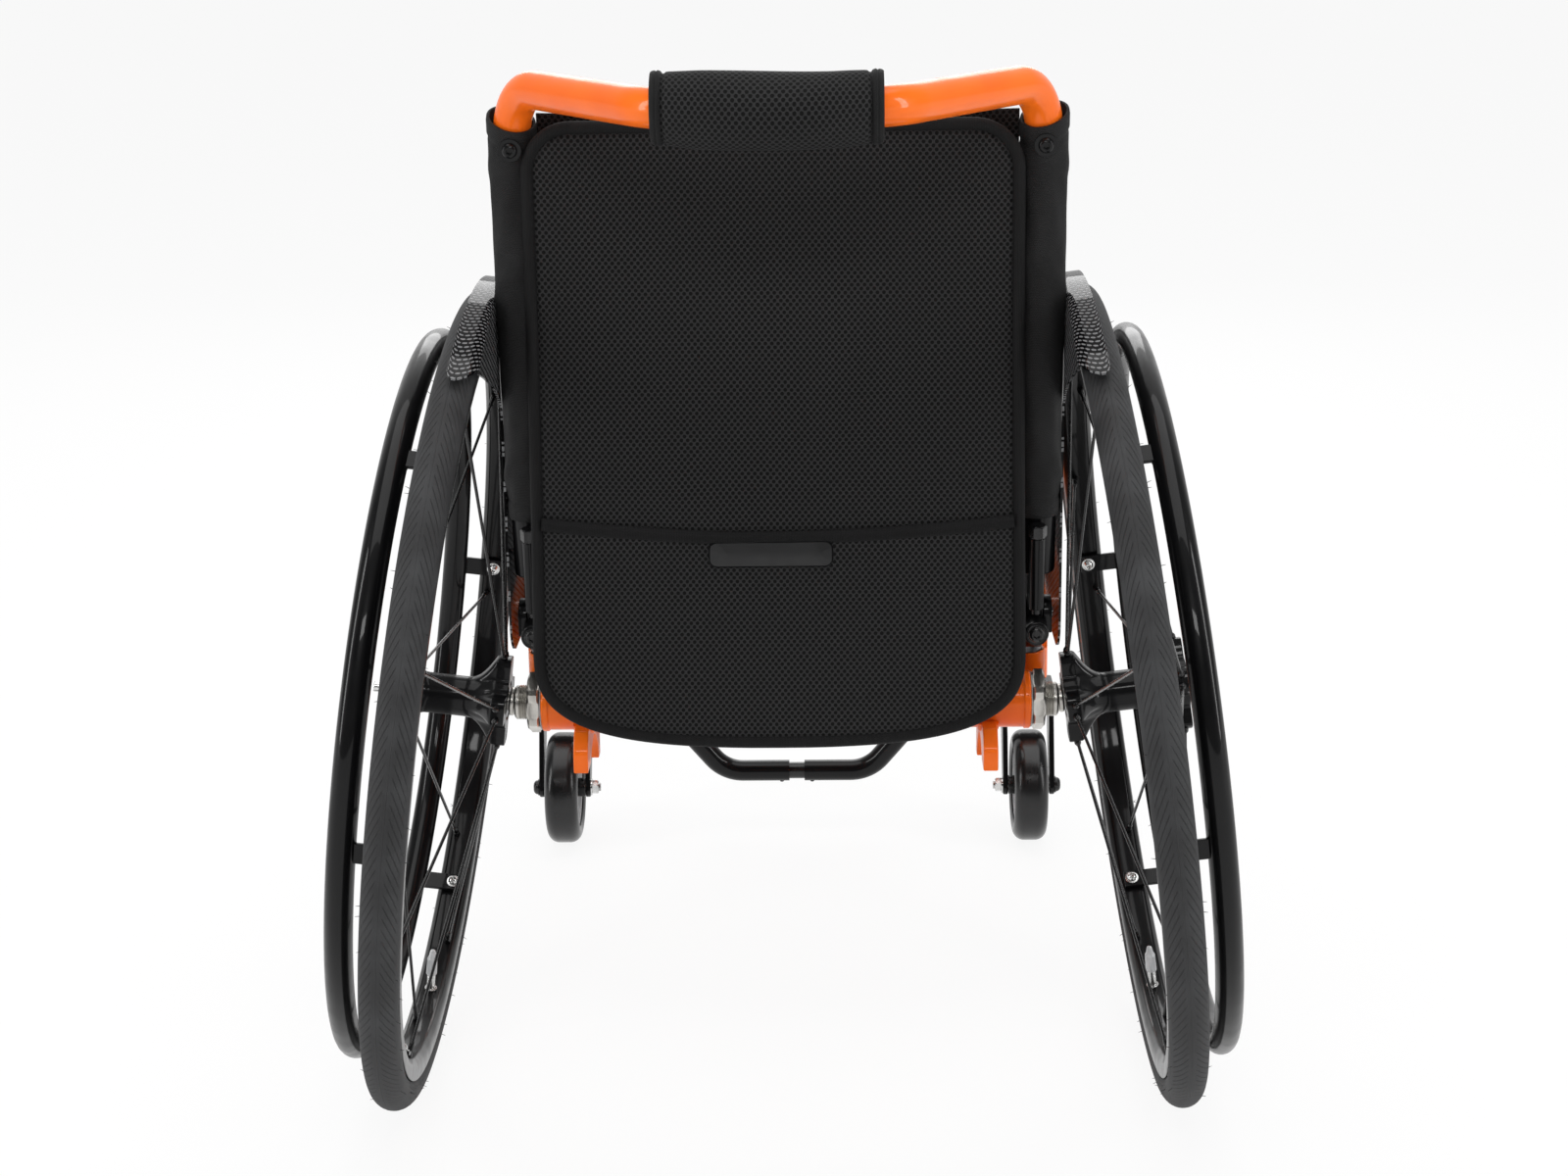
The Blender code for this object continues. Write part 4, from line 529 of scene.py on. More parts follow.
def caster_rubber():
    surface = Surface("caster_rubber", (0.005, 0.005, 0.0055), 0.26)
    surface.colour((0.0035, 0.0035, 0.004), (0.008, 0.008, 0.0085),
                   surface.noise(60.0).from_to(0.3, 0.7))
    surface.rough(surface.noise(25.0).from_to(0.3, 0.7, 0.20, 0.32))
    return surface.relief(surface.noise(700.0) * 0.00003)


def spacer_mesh(name):
    """Knitted spacer fabric with staggered oval holes, painted near black as their shade."""
    surface = Surface(name, (0.008, 0.008, 0.0085), 0.80, specular_ior_level=0.22)
    u, v = surface.flat()
    row = (v / MESH_ROW).whole()
    x = ((u + (row % 2.0) * (MESH_PITCH / 2)) % MESH_PITCH) - MESH_PITCH / 2
    y = (v % MESH_ROW) - MESH_ROW / 2
    reach = (x * x) / MESH_HOLE_WIDTH ** 2 + (y * y) / MESH_HOLE_HEIGHT ** 2
    yarn = reach.from_to(0.75, 1.45)
    twist = surface.noise(1500.0, 2.0)
    # Painted shade: the holes are near black, and the yarn is lighter and varies with its twist
    surface.colour((0.0006, 0.0006, 0.0006), (0.0300, 0.0300, 0.0306), yarn * (twist * 0.7 + 0.45))
    return surface.relief(yarn * 0.0006 + twist * 0.00016)


def webbing(name, low, high, pitch):
    """Closely woven tape or cloth."""
    surface = Surface(name, high, 0.76, specular_ior_level=0.28)
    u, v = surface.flat()
    weft = ((u % pitch) - pitch / 2).size() / pitch
    warp = (((v + (u / pitch).whole() * (pitch / 2)) % pitch) - pitch / 2).size() / pitch
    drift = surface.noise(25.0, 4.0)
    surface.colour(low, high, (weft + warp) * drift.from_to(0.2, 0.8, 0.7, 1.3))
    return surface.relief((weft + warp) * pitch * -0.35)


def carbon_twill():
    """Rows of pale flecks in a dark carbon sheet, under clear lacquer."""
    surface = Surface("carbon_twill", (0.020, 0.020, 0.021), 0.46, coat_weight=0.40,
                      coat_roughness=0.05, specular_ior_level=0.0)
    u, v = surface.flat()
    line = u - v * FLECK_SLANT
    row = (line / FLECK_ROW).whole()
    along = ((v + row * (FLECK_PITCH * FLECK_STEP)) % FLECK_PITCH) - FLECK_PITCH / 2
    across = (line % FLECK_ROW) - FLECK_ROW / 2
    reach = (along * along) / FLECK_HALF_LENGTH ** 2 + (across * across) / FLECK_HALF_WIDTH ** 2
    over = reach.from_to(0.75, 1.15, 1.0, 0.0)
    strands = surface.noise(3000.0, 2.0)
    surface.colour((0.003, 0.003, 0.0033), (0.210, 0.212, 0.217), over * (strands * 0.4 + 0.7))
    surface.rough(over * -0.12 + 0.42)
    return surface.relief(over * 0.00010)


def plastic(name, colour, roughness):
    surface = Surface(name, colour, roughness)
    shade = tuple(part * 0.8 for part in colour)
    surface.colour(shade, colour, surface.noise(45.0).from_to(0.3, 0.7))
    surface.rough(surface.noise(90.0).from_to(0.3, 0.7, roughness * 0.85, roughness * 1.2))
    return surface.relief(surface.noise(900.0, 2.0) * 0.00002)


ORANGE = paint("orange_gloss", (0.93, 0.165, 0.010), (0.84, 0.128, 0.007))
BLACK = paint("black_gloss", (0.0045, 0.0045, 0.0050), (0.0030, 0.0030, 0.0034))
SATIN_BLACK = plastic("black_satin", (0.006, 0.006, 0.0065), 0.26)
SILVER = metal("satin_steel", (0.62, 0.60, 0.56), 0.30, 1800.0)
BRIGHT = metal("bright_zinc", (0.74, 0.74, 0.73), 0.20, 1500.0)
GREY_METAL = metal("grey_anodised", (0.22, 0.23, 0.24), 0.34, 1200.0)
TYRE = tyre_rubber()
CASTER_RUBBER = caster_rubber()
CASTER_GREY = plastic("grey_plastic", (0.42, 0.43, 0.44), 0.40)
CLEAR_CAP = plastic("valve_cap", (0.55, 0.56, 0.57), 0.15)
MESH = spacer_mesh("spacer_mesh")
TAPE = webbing("binding_tape", (0.0010, 0.0010, 0.0011), (0.0075, 0.0075, 0.0080), 0.0011)
CLOTH = webbing("woven_cloth", (0.0020, 0.0020, 0.0022), (0.0210, 0.0210, 0.0215), 0.0012)
PATCH = plastic("bare_patch", (0.006, 0.006, 0.0065), 0.42)
CARBON = carbon_twill()
CARBON_EDGE = plastic("carbon_edge", (0.10, 0.10, 0.105), 0.45)


# Shapes


def skin(rings, closed=True, uvs=None, bands=None):
    """Faces between rings of points, with a UV map in metres.

    U goes from ring to ring and V goes round them, unless uvs has a pair for each point.
    bands gives each row of faces its material's number.
    """
    bm = bmesh.new()
    layer = bm.loops.layers.uv.new("UVMap")
    count = len(rings[0])
    spans = count if closed else count - 1
    verts = [[bm.verts.new(point) for point in ring] for ring in rings]
    along = [0.0]
    for ring_a, ring_b in zip(rings, rings[1:]):
        along.append(along[-1] + sum((b - a).length for a, b in zip(ring_a, ring_b)) / count)
    widths = [[(ring[(k + 1) % count] - ring[k]).length for k in range(spans)] for ring in rings]
    widest = max(widths, key=sum)
    across = [sum(widest[:k]) for k in range(spans + 1)]
    for row in range(len(rings) - 1):
        for k in range(spans):
            corners = ((row, k), (row, k + 1), (row + 1, k + 1), (row + 1, k))
            face = bm.faces.new([verts[r][c % count] for r, c in corners])
            face.material_index = bands[row] if bands else 0
            for loop, (r, c) in zip(face.loops, corners):
                loop[layer].uv = uvs[r][c % count] if uvs else (along[r], across[c])
    bmesh.ops.remove_doubles(bm, verts=bm.verts, dist=1e-7)
    return bm


def six_sided(angle, corner):
    """Reach of a hexagon with one corner at angle 0."""
    return corner * cos(pi / 6) / cos(angle % (pi / 3) - pi / 6)


def turned(profile, sides=ROUND_SIDES):
    """Turn (along, radius) points about X; a third number limits that ring to a hexagon."""
    rings = []
    for along, radius, *corner in profile:
        ring = []
        for k in range(sides):
            angle = 2 * pi * k / sides
            reach = min([radius] + [six_sided(angle, size) for size in corner])
            ring.append(Vector((along, reach * sin(angle), reach * cos(angle))))
        rings.append(ring)
    return skin(rings)


def softened(profile, rounding, steps=3):
    """Round the corners of a profile."""
    result = [profile[0]]
    for before, corner, after in zip(profile, profile[1:], profile[2:]):
        middle = Vector(corner[:2])
        way_in = Vector(before[:2]) - middle
        way_out = Vector(after[:2]) - middle
        size = min(rounding, way_in.length * 0.45, way_out.length * 0.45)
        start = middle + way_in.normalized() * size
        end = middle + way_out.normalized() * size
        for step in range(steps + 1):
            t = step / steps
            point = start * (1 - t) ** 2 + middle * (2 * t * (1 - t)) + end * t ** 2
            result.append((point.x, point.y, *corner[2:]))
    result.append(profile[-1])
    return result


def lathed(profile, rounding, sides=ROUND_SIDES, steps=3):
    """Turn a profile that both its ends close to the axis, and round its edges."""
    closed = [(profile[0][0], 0.0), *profile, (profile[-1][0], 0.0)]
    return turned(softened(closed, rounding, steps), sides)


def rod(start, end, radius, rounding=0.0006, sides=ROUND_SIDES):
    """A round bar along X with rounded edges."""
    return lathed([(start, radius), (end, radius)], rounding, sides)


def ring_of(start, end, inner, outer, rounding=0.0004):
    """A tube along X with rounded edges."""
    seam = (start, (inner + outer) / 2)
    profile = [seam, (start, outer), (end, outer), (end, inner), (start, inner), seam]
    return turned(softened(profile, rounding))


def mirrored(points):
    """The points on the other side of 0, in reverse order."""
    return [(-a, b) for a, b in reversed(points)]


def rounded_path(corners, bends):
    """Points along straight runs whose inner corners are arcs of the given radii."""
    corners = [Vector(corner) for corner in corners]
    path = [corners[0]]
    for before, corner, after, bend in zip(corners, corners[1:], corners[2:], bends):
        way_in = (corner - before).normalized()
        way_out = (after - corner).normalized()
        turn = way_in.angle(way_out)
        start = corner - way_in * (bend * tan(turn / 2))
        centre = corner + (way_out - way_in).normalized() * (bend / cos(turn / 2))
        axis = way_in.cross(way_out).normalized()
        for step in range(BEND_STEPS + 1):
            turned_by = Matrix.Rotation(turn * step / BEND_STEPS, 3, axis)
            path.append(centre + turned_by @ (start - centre))
    path.append(corners[-1])
    return path


def swept(path, outline, across=(1.0, 0.0, 0.0)):
    """Carry an outline along a path and close its ends.

    outline(k) gives the (across, over) points at station k.
    """
    across = Vector(across)
    rings = []
    for k, point in enumerate(path):
        along = (path[min(k + 1, len(path) - 1)] - path[max(k - 1, 0)]).normalized()
        across = (across - along * across.dot(along)).normalized()
        over = along.cross(across)
        rings.append([point + across * a + over * o for a, o in outline(k)])
    for place, ring in ((0, rings[0]), (len(rings) + 1, rings[-1])):
        middle = sum(ring, Vector()) / len(ring)
        rings.insert(place, [middle.copy() for _ in ring])
    return skin(rings)


def circle(radius, sides):
    turns = [2 * pi * k / sides for k in range(sides)]
    return [(radius * cos(turn), radius * sin(turn)) for turn in turns]


def tube(path, radius, sides=ROUND_SIDES, across=(1.0, 0.0, 0.0)):
    outline = circle(radius, sides)
    return swept(path, lambda k: outline, across)


def bead(path, radius):
    """A weld bead with its ripples."""
    path = [Vector(point) for point in path]
    return swept(path, lambda k: circle(radius * (1.0 + 0.16 * sin(k * 2.1)), 10))


def ring_path(centre, radius, axis):
    """Points of a closed circle about an axis."""
    axis = Vector(axis).normalized()
    start = axis.orthogonal().normalized() * radius
    turns = [2 * pi * k / WELD_STEPS for k in range(WELD_STEPS + 1)]
    return [Vector(centre) + Matrix.Rotation(turn, 3, axis) @ start for turn in turns]


def arc(centre, radius, first, last, steps):
    """Points of an arc in the (Y, Z) plane, with angles counted from +Y towards +Z."""
    angles = [radians(first + (last - first) * step / steps) for step in range(steps + 1)]
    return [(centre[0] + radius * cos(angle), centre[1] + radius * sin(angle)) for angle in angles]


def plate(outline, start, end, bevel=0.0008):
    """Extrude an outline of (Y, Z) points along X and bevel its edges."""
    bm = bmesh.new()
    bm.loops.layers.uv.new("UVMap")
    face = bm.faces.new([bm.verts.new((start, y, z)) for y, z in outline])
    grown = bmesh.ops.extrude_face_region(bm, geom=[face])
    moving = [part for part in grown["geom"] if isinstance(part, bmesh.types.BMVert)]
    bmesh.ops.translate(bm, verts=moving, vec=(end - start, 0.0, 0.0))
    bmesh.ops.recalc_face_normals(bm, faces=bm.faces)
    sharp = [edge for edge in bm.edges if edge.calc_face_angle(0.0) > radians(30)]
    bmesh.ops.bevel(bm, geom=sharp, offset=bevel, offset_type="OFFSET", segments=2, profile=0.5,
                    affect="EDGES", clamp_overlap=True)
    return box_mapped(bm)


def box_mapped(bm):
    """UV map in metres, seen along the axis that each face looks to most."""
    layer = bm.loops.layers.uv.verify()
    for face in bm.faces:
        away = max(range(3), key=lambda axis: abs(face.normal[axis]))
        for loop in face.loops:
            loop[layer].uv = [loop.vert.co[axis] for axis in range(3) if axis != away]
    return bm


def moved(bm, matrix):
    bmesh.ops.transform(bm, matrix=matrix, verts=bm.verts)
    return bm


def shifted(bm, x, y, z):
    return moved(bm, Matrix.Translation((x, y, z)))


def aimed(bm, start, way):
    """Carry a shape made along X to a point and a direction."""
    turn = Vector(way).to_track_quat("X", "Z").to_matrix().to_4x4()
    return moved(bm, Matrix.Translation(start) @ turn)


def upright(bm, x, y):
    """Stand a shape made along X at (x, y), with its length along Z."""
    return shifted(moved(bm, TO_Z), x, y, 0.0)


def slab(rows, columns, place):
    """A sheet of two faces: both faces' points and the UV pair, for a share and a lean across."""
    rings = []
    uvs = []
    for row in range(rows + 1):
        leans = [2 * column / columns - 1 for column in range(columns + 1)]
        outer, inner, marks = zip(*[place(row / rows, lean) for lean in leans])
        rings.append([*outer, *reversed(inner)])
        uvs.append([*marks, *reversed(marks)])
    for at, ring, marks in ((0, rings[0], uvs[0]), (len(rings) + 1, rings[-1], uvs[-1])):
        middle = [(ring[k] + ring[-1 - k]) / 2 for k in range(columns + 1)]
        rings.insert(at, middle + middle[::-1])
        uvs.insert(at, marks)
    return skin(rings, True, uvs)


def together(first, *others):
    for other in others:
        mesh = bpy.data.meshes.new("part")
        other.to_mesh(mesh)
        other.free()
        first.from_mesh(mesh)
        bpy.data.meshes.remove(mesh)
    return first


def evaluated(bm, add_modifier):
    """The mesh after one modifier."""
    mesh = bpy.data.meshes.new("shape")
    bm.to_mesh(mesh)
    bm.free()
    body = bpy.data.objects.new("shape", mesh)
    bpy.context.scene.collection.objects.link(body)
    add_modifier(body)
    bpy.context.view_layer.update()
    result = bmesh.new()
    result.from_object(body, bpy.context.evaluated_depsgraph_get())
    bpy.data.objects.remove(body, do_unlink=True)
    return result


def add(name, bm, surfaces, body, nodes):
    """Make a piece in the row's axes, let it ride on its body and stand for its CAD nodes."""
    moved(bm, Matrix.Translation((0.0, AXLE_Y, 0.0)))
    mesh = bpy.data.meshes.new(name)
    bm.to_mesh(mesh)
    bm.free()
    mesh.shade_smooth()
    mesh.set_sharp_from_angle(angle=radians(SMOOTH_ANGLE))
    for surface in surfaces if isinstance(surfaces, tuple) else (surfaces,):
        mesh.materials.append(surface.material)
    piece = bpy.data.objects.new(name, mesh)
    bpy.context.scene.collection.objects.link(piece)
    weighted = piece.modifiers.new("even_normals", "WEIGHTED_NORMAL")
    weighted.keep_sharp = True
    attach(piece, body)
    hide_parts(*nodes)
    return piece


def add_both(name, build, surfaces, body, node):
    """Add the right piece and its mirror image; moving bodies and nodes end with their side."""
    pieces = []
    for side in ("_right", "_left"):
        bm = build()
        bmesh.ops.recalc_face_normals(bm, faces=bm.faces)
        if side == "_left":
            moved(bm, MIRROR_X)
            bmesh.ops.reverse_faces(bm, faces=bm.faces)
        carrier = body if body in ("frame", "backrest") else body + side
        nodes = [node + side] if node else []
        pieces.append(add(name + side, bm, surfaces, carrier, nodes))
    return pieces


def add_pairs(body, *rows):
    """Add pairs of pieces to one body: name, shape, finish, CAD node that it stands for, slot,
    which is not used.
    """
    for name, build, surfaces, node, slot in rows:
        add_both(name, build, surfaces, body, node)


def add_one(name, bm, surfaces, body, node):
    """Add a piece that has no mirror image."""
    bmesh.ops.recalc_face_normals(bm, faces=bm.faces)
    return add(name, bm, surfaces, body, [node] if node else [])


def wheel_matrix():
    """From the right wheel's own axes (X outboard on its axle, Z up its plane) to the chair's."""
    return Matrix.Translation((WHEEL_X, 0.0, WHEEL_Z)) @ Matrix.Rotation(-radians(CAMBER), 4, "Y")


def in_wheel(bm):
    return moved(bm, wheel_matrix())


def back_matrix():
    """From the hinge's own axes, with Z up the posts, to the chair's."""
    return Matrix.Translation((0.0, 0.0, HINGE_Z)) @ Matrix.Rotation(radians(RECLINE), 4, "X")


def in_back(x, y, z):
    return back_matrix().inverted() @ Vector((x, y, z))


def rail_z(y):
    return RAIL_REAR_Z + (y - BOSS_Y) * tan(radians(RAIL_SLOPE))


def around(radius, angle, x=0.0):
    """A point of the wheel's own axes at an angle from its top towards the front."""
    return Vector((x, radius * sin(radians(angle)), radius * cos(radians(angle))))


def socket_bolt(washer, head, height, thickness, socket):
    """Washer and domed head with a six-sided socket, on a seat at 0, head towards +X."""
    top = thickness + height
    profile = [(0.0, washer), (thickness, washer), (thickness, head),
               (thickness + height * 0.40, head * 0.98), (thickness + height * 0.78, head * 0.82),
               (top, head * 0.58), (top, socket * 1.04), (top - height * 0.15, socket, socket),
               (top - height * 0.75, socket, socket)]
    return lathed(profile, 0.0003, SMALL_SIDES, 2)


# Drive wheel pieces, in the wheel's own axes


def tyre():
    angles = [radians(TYRE_WRAP * (2 * k / TYRE_ROWS - 1)) for k in range(TYRE_ROWS + 1)]
    profile = [(TYRE_SECTION * sin(a), TYRE_RING + TYRE_SECTION * cos(a)) for a in angles]
    return in_wheel(turned(profile + profile[:1], RING_SIDES))


def vent_hairs():
    """Thin moulding hairs on the tyre's shoulders."""
    chance = Random(7)
    hairs = bmesh.new()
    hairs.loops.layers.uv.new("UVMap")
    for k in range(HAIR_COUNT):
        turn = 360.0 * (k + chance.random()) / HAIR_COUNT
        lean = radians(chance.choice((-1, 1)) * chance.uniform(58.0, 92.0))
        root = around(TYRE_RING + TYRE_SECTION * cos(lean), turn, TYRE_SECTION * sin(lean))
        way = (around(cos(lean), turn, sin(lean))
               + Vector([chance.uniform(-0.35, 0.35) for _ in range(3)]))
        length = HAIR_LENGTH * chance.uniform(0.5, 1.0)
        hair = turned([(-0.0003, HAIR_RADIUS), (length, HAIR_RADIUS * 0.4), (length, 0.0)], 5)
        together(hairs, aimed(hair, root, way))
    return in_wheel(hairs)


def rim():
    """Hollow-section rim with round inner edges."""
    well = RIM_HALF - RIM_WALL
    profile = [(0.0, RIM_BED), (well, RIM_BED), (well, RIM_FLANGE), (RIM_HALF, RIM_FLANGE),
               (RIM_HALF, RIM_BED), (RIM_HALF - 0.0008, RIM_INNER + 0.0045),
               (RIM_HALF - 0.0042, RIM_INNER), (0.0, RIM_INNER)]
    profile = softened(profile, RIM_ROUNDING / 2)
    return in_wheel(turned(profile + mirrored(profile)[1:], RING_SIDES))


def star(angle, first):
    """Reach of a hub flange, which has four blunt lobes."""
    share = min(1.0, max(0.0, (cos(4 * (angle - radians(first))) + 0.45) / 1.1))
    share = share * share * (3 - 2 * share)
    return HUB_VALLEY + (HUB_FLANGE - HUB_VALLEY) * share


def hub_shell():
    """Barrel whose ends open into four arched webs to the lobes of each flange."""
    half = [(0.0, 0.0145, 0.0), (0.0120, 0.0145, 0.0), (0.0165, 0.0147, 0.0),
            (0.0190, 0.0150, 0.03), (0.0220, 0.0153, 0.12), (0.0250, 0.0156, 0.27),
            (0.0280, 0.0160, 0.48), (0.0310, 0.0165, 0.75), (0.0330, 0.0170, 0.93),
            (0.0340, 0.0170, 0.97), (0.0348, 0.0170, 1.0), (0.0432, 0.0170, 1.0),
            (0.0438, 0.0170, 0.985), (HUB_HALF, 0.0170, 0.96), (HUB_HALF, 0.0150, 0.0),
            (0.0430, 0.0142, 0.0), (0.0430, 0.0122, 0.0), (0.0438, 0.0116, 0.0),
            (0.0438, 0.0069, 0.0), (0.0300, 0.0067, 0.0)]
    stations = [(-x, base, share, 0.0) for x, base, share in reversed(half)]
    stations += [(x, base, share, SPOKE_SPLAY) for x, base, share in half]
    rings = []
    for x, base, share, first in stations:
        ring = []
        for k in range(2 * ROUND_SIDES):
            angle = pi * k / ROUND_SIDES
            reach = base + (star(angle, first) - base) * share
            ring.append(Vector((x, reach * sin(angle), reach * cos(angle))))
        rings.append(ring)
    return in_wheel(skin(rings))


def spoke_lines():
    """Root and tip of each spoke."""
    lines = []
    for side, first in ((-1, 0.0), (1, SPOKE_SPLAY)):
        for pair in range(4):
            for lean in (-1, 1):
                lobe = first + 90.0 * pair
                lines.append((around(SPOKE_ROOT, lobe + lean * SPOKE_PAIR, side * SPOKE_SIDE),
                              around(SPOKE_REACH, lobe + lean * SPOKE_SPLAY,
                                     side * SPOKE_RIM_OFFSET)))
    return lines


def spokes():
    bars = [tube([root, tip], SPOKE_RADIUS, 14) for root, tip in spoke_lines()]
    return in_wheel(together(*bars))


def spoke_ends():
    """Nipples at the rim and collars at the hub."""
    parts = []
    for root, tip in spoke_lines():
        way = (tip - root).normalized()
        nipple = softened([(0.0, 0.0), (0.0, SPOKE_RADIUS + 0.0003), (0.002, NIPPLE_RADIUS * 0.9),
                           (NIPPLE_LENGTH * 0.55, NIPPLE_RADIUS * 0.9),
                           (NIPPLE_LENGTH * 0.6, NIPPLE_RADIUS),
                           (NIPPLE_LENGTH, NIPPLE_RADIUS * 1.15)], 0.0003)
        parts.append(aimed(turned(nipple, 18), tip - way * (NIPPLE_LENGTH - 0.0008), way))
        collar = softened([(0.0, 0.0), (0.0, 0.0026), (COLLAR_LENGTH * 0.7, 0.0024),
                           (COLLAR_LENGTH, SPOKE_RADIUS)], 0.0004)
        parts.append(aimed(turned(collar, 18), root + way * 0.0022, way))
    return in_wheel(together(*parts))


def push_ring():
    """Push ring and the tabs that hold it to the rim."""
    profile = [(HANDRIM_OFFSET + a, HANDRIM_RADIUS + r)
               for a, r in circle(HANDRIM_TUBE, HANDRIM_ROWS)]
    body = turned(profile + profile[:1], RING_SIDES)
    half = TAB_WIDTH / 2
    for k in range(TAB_COUNT):
        outline = [(-half, TAB_OUTER - TAB_THICKNESS), (half, TAB_OUTER - TAB_THICKNESS),
                   (half, TAB_OUTER), (-half, TAB_OUTER)]
        tab = plate(outline, TAB_INNER_END, HANDRIM_OFFSET, 0.0006)
        foot = bead([(HANDRIM_OFFSET - HANDRIM_TUBE + 0.0010, y * 0.001,
                      TAB_OUTER - TAB_THICKNESS - 0.0004) for y in range(-7, 8)], 0.0013)
        turn = Matrix.Rotation(-radians(TAB_FIRST + 360.0 * k / TAB_COUNT), 4, "X")
        together(body, moved(together(tab, foot), turn))
    return in_wheel(body)


def tab_bolts():
    """Washer, socket bolt and sleeve nut of each tab, facing the hub."""
    parts = []
    for k in range(TAB_COUNT):
        angle = TAB_FIRST + 360.0 * k / TAB_COUNT
        seat = around(TAB_OUTER - TAB_THICKNESS, angle, 0.0)
        parts.append(aimed(socket_bolt(*TAB_BOLT), seat, -around(1.0, angle)))
    return in_wheel(together(*parts))


def valve():
    """Metal valve stem with its ring nut."""
    stem = lathed([(0.0, 0.0046), (0.0022, 0.0046), (0.0022, 0.0030), (0.0170, 0.0030),
                   (0.0170, 0.0024), (0.0230, 0.0024)], 0.0004, SMALL_SIDES)
    threads = [(0.003 + 0.0006 * k, 0.0031 if k % 2 else 0.0028) for k in range(22)]
    together(stem, turned(threads, SMALL_SIDES))
    return in_wheel(aimed(stem, around(RIM_INNER, VALVE_ANGLE), -around(1.0, VALVE_ANGLE)))


def valve_cap():
    profile = softened([(0.0150, 0.0030), (0.0150, 0.0041), (0.0290, 0.0038), (0.0310, 0.0028),
                        (VALVE_LENGTH, 0.0018), (VALVE_LENGTH, 0.0)], 0.0010)
    cap = turned(profile, SMALL_SIDES)
    return in_wheel(aimed(cap, around(RIM_INNER, VALVE_ANGLE), -around(1.0, VALVE_ANGLE)))


def quick_axle():
    """Axle whose turned head lies against the hub."""
    start = HUB_HALF + CLEARANCE
    hole = BUTTON_RADIUS + 0.0004
    return in_wheel(lathed([(-0.080, 0.0063), (start, 0.0063), (start, AXLE_HEAD),
                            (AXLE_HEAD_END - 0.0008, AXLE_HEAD),
                            (AXLE_HEAD_END, AXLE_HEAD - 0.0012),
                            (AXLE_HEAD_END, hole + 0.0010), (AXLE_HEAD_END - 0.0008, hole),
                            (0.033, hole)], 0.0005))


def axle_button():
    foot = BUTTON_END - 0.0160
    profile = [(foot, 0.0), (foot, BUTTON_RADIUS), (BUTTON_END, BUTTON_RADIUS),
               (BUTTON_END, BUTTON_RADIUS * 0.6), (BUTTON_END - 0.0004, 0.0)]
    return in_wheel(turned(softened(profile, 0.0009), SMALL_SIDES))


# Axle line, in the chair's axes


def axle_tube():
    """Tube with a collar at each end."""
    half = AXLE_TUBE_HALF
    collar = half - AXLE_COLLAR_LENGTH
    right = [(collar - 0.0008, AXLE_TUBE_RADIUS), (collar, AXLE_COLLAR),
             (half - 0.0010, AXLE_COLLAR), (half, AXLE_COLLAR - 0.0010), (half, 0.0128),
             (half - 0.010, 0.0128)]
    body = turned(softened(mirrored(right) + right, 0.0005), 2 * ROUND_SIDES)
    return shifted(body, 0.0, 0.0, AXLE_TUBE_Z)


def camber_sleeve():
    """Thread in line with the axle tube, then a neck that follows the tilted axle."""
    root = THREAD_RADIUS - THREAD_DEPTH
    profile = [(0.160, 0.0), (0.160, root)]
    x = AXLE_TUBE_HALF
    while x < THREAD_END - 0.0042:
        profile += [(x, root), (x + THREAD_PITCH * 0.45, THREAD_RADIUS),
                    (x + THREAD_PITCH * 0.55, THREAD_RADIUS)]
        x += THREAD_PITCH
    profile += [(THREAD_END - 0.0040, THREAD_RADIUS - 0.0011),
                (THREAD_END - 0.0034, THREAD_RADIUS - 0.0003),
                (THREAD_END - 0.0012, THREAD_RADIUS - 0.0003), (THREAD_END, THREAD_RADIUS - 0.0018),
                (THREAD_END, 0.0)]
    thread = shifted(turned(profile), 0.0, 0.0, AXLE_TUBE_Z)
    start = (THREAD_END - WHEEL_X) / cos(radians(CAMBER)) - 0.0060
    neck = turned(softened([(start, 0.0), (start, SLEEVE_NECK * 0.93),
                            (start + 0.0062, SLEEVE_NECK * 0.93),
                            (start + 0.0070, SLEEVE_NECK), (-HUB_HALF - 0.0016, SLEEVE_NECK),
                            (-HUB_HALF - 0.0006, SLEEVE_NECK * 0.82), (-HUB_HALF - 0.0003, 0.0)],
                           0.0004))
    return together(thread, in_wheel(neck))


def camber_nut():
    """Hexagon nut with turned chamfers and a flat towards the rear."""
    start = AXLE_TUBE_HALF + NUT_INSET
    end = start + NUT_THICKNESS
    slope = 0.0017
    profile = [(start, THREAD_RADIUS + 0.0002), (start, NUT_FLATS * 0.97, NUT_CORNERS),
               (start + slope, NUT_CORNERS, NUT_CORNERS), (end - slope, NUT_CORNERS, NUT_CORNERS),
               (end, NUT_FLATS * 0.97, NUT_CORNERS), (end, THREAD_RADIUS + 0.0012),
               (end - 0.0012, THREAD_RADIUS + 0.0002), (start, THREAD_RADIUS + 0.0002)]
    return shifted(turned(profile, 72), 0.0, 0.0, AXLE_TUBE_Z)


def nut_washer():
    start = AXLE_TUBE_HALF + 0.0001
    return shifted(
        ring_of(start, start + NUT_INSET - 0.0002, THREAD_RADIUS + 0.0002, 0.0200, 0.0002),
        0.0, 0.0, AXLE_TUBE_Z)


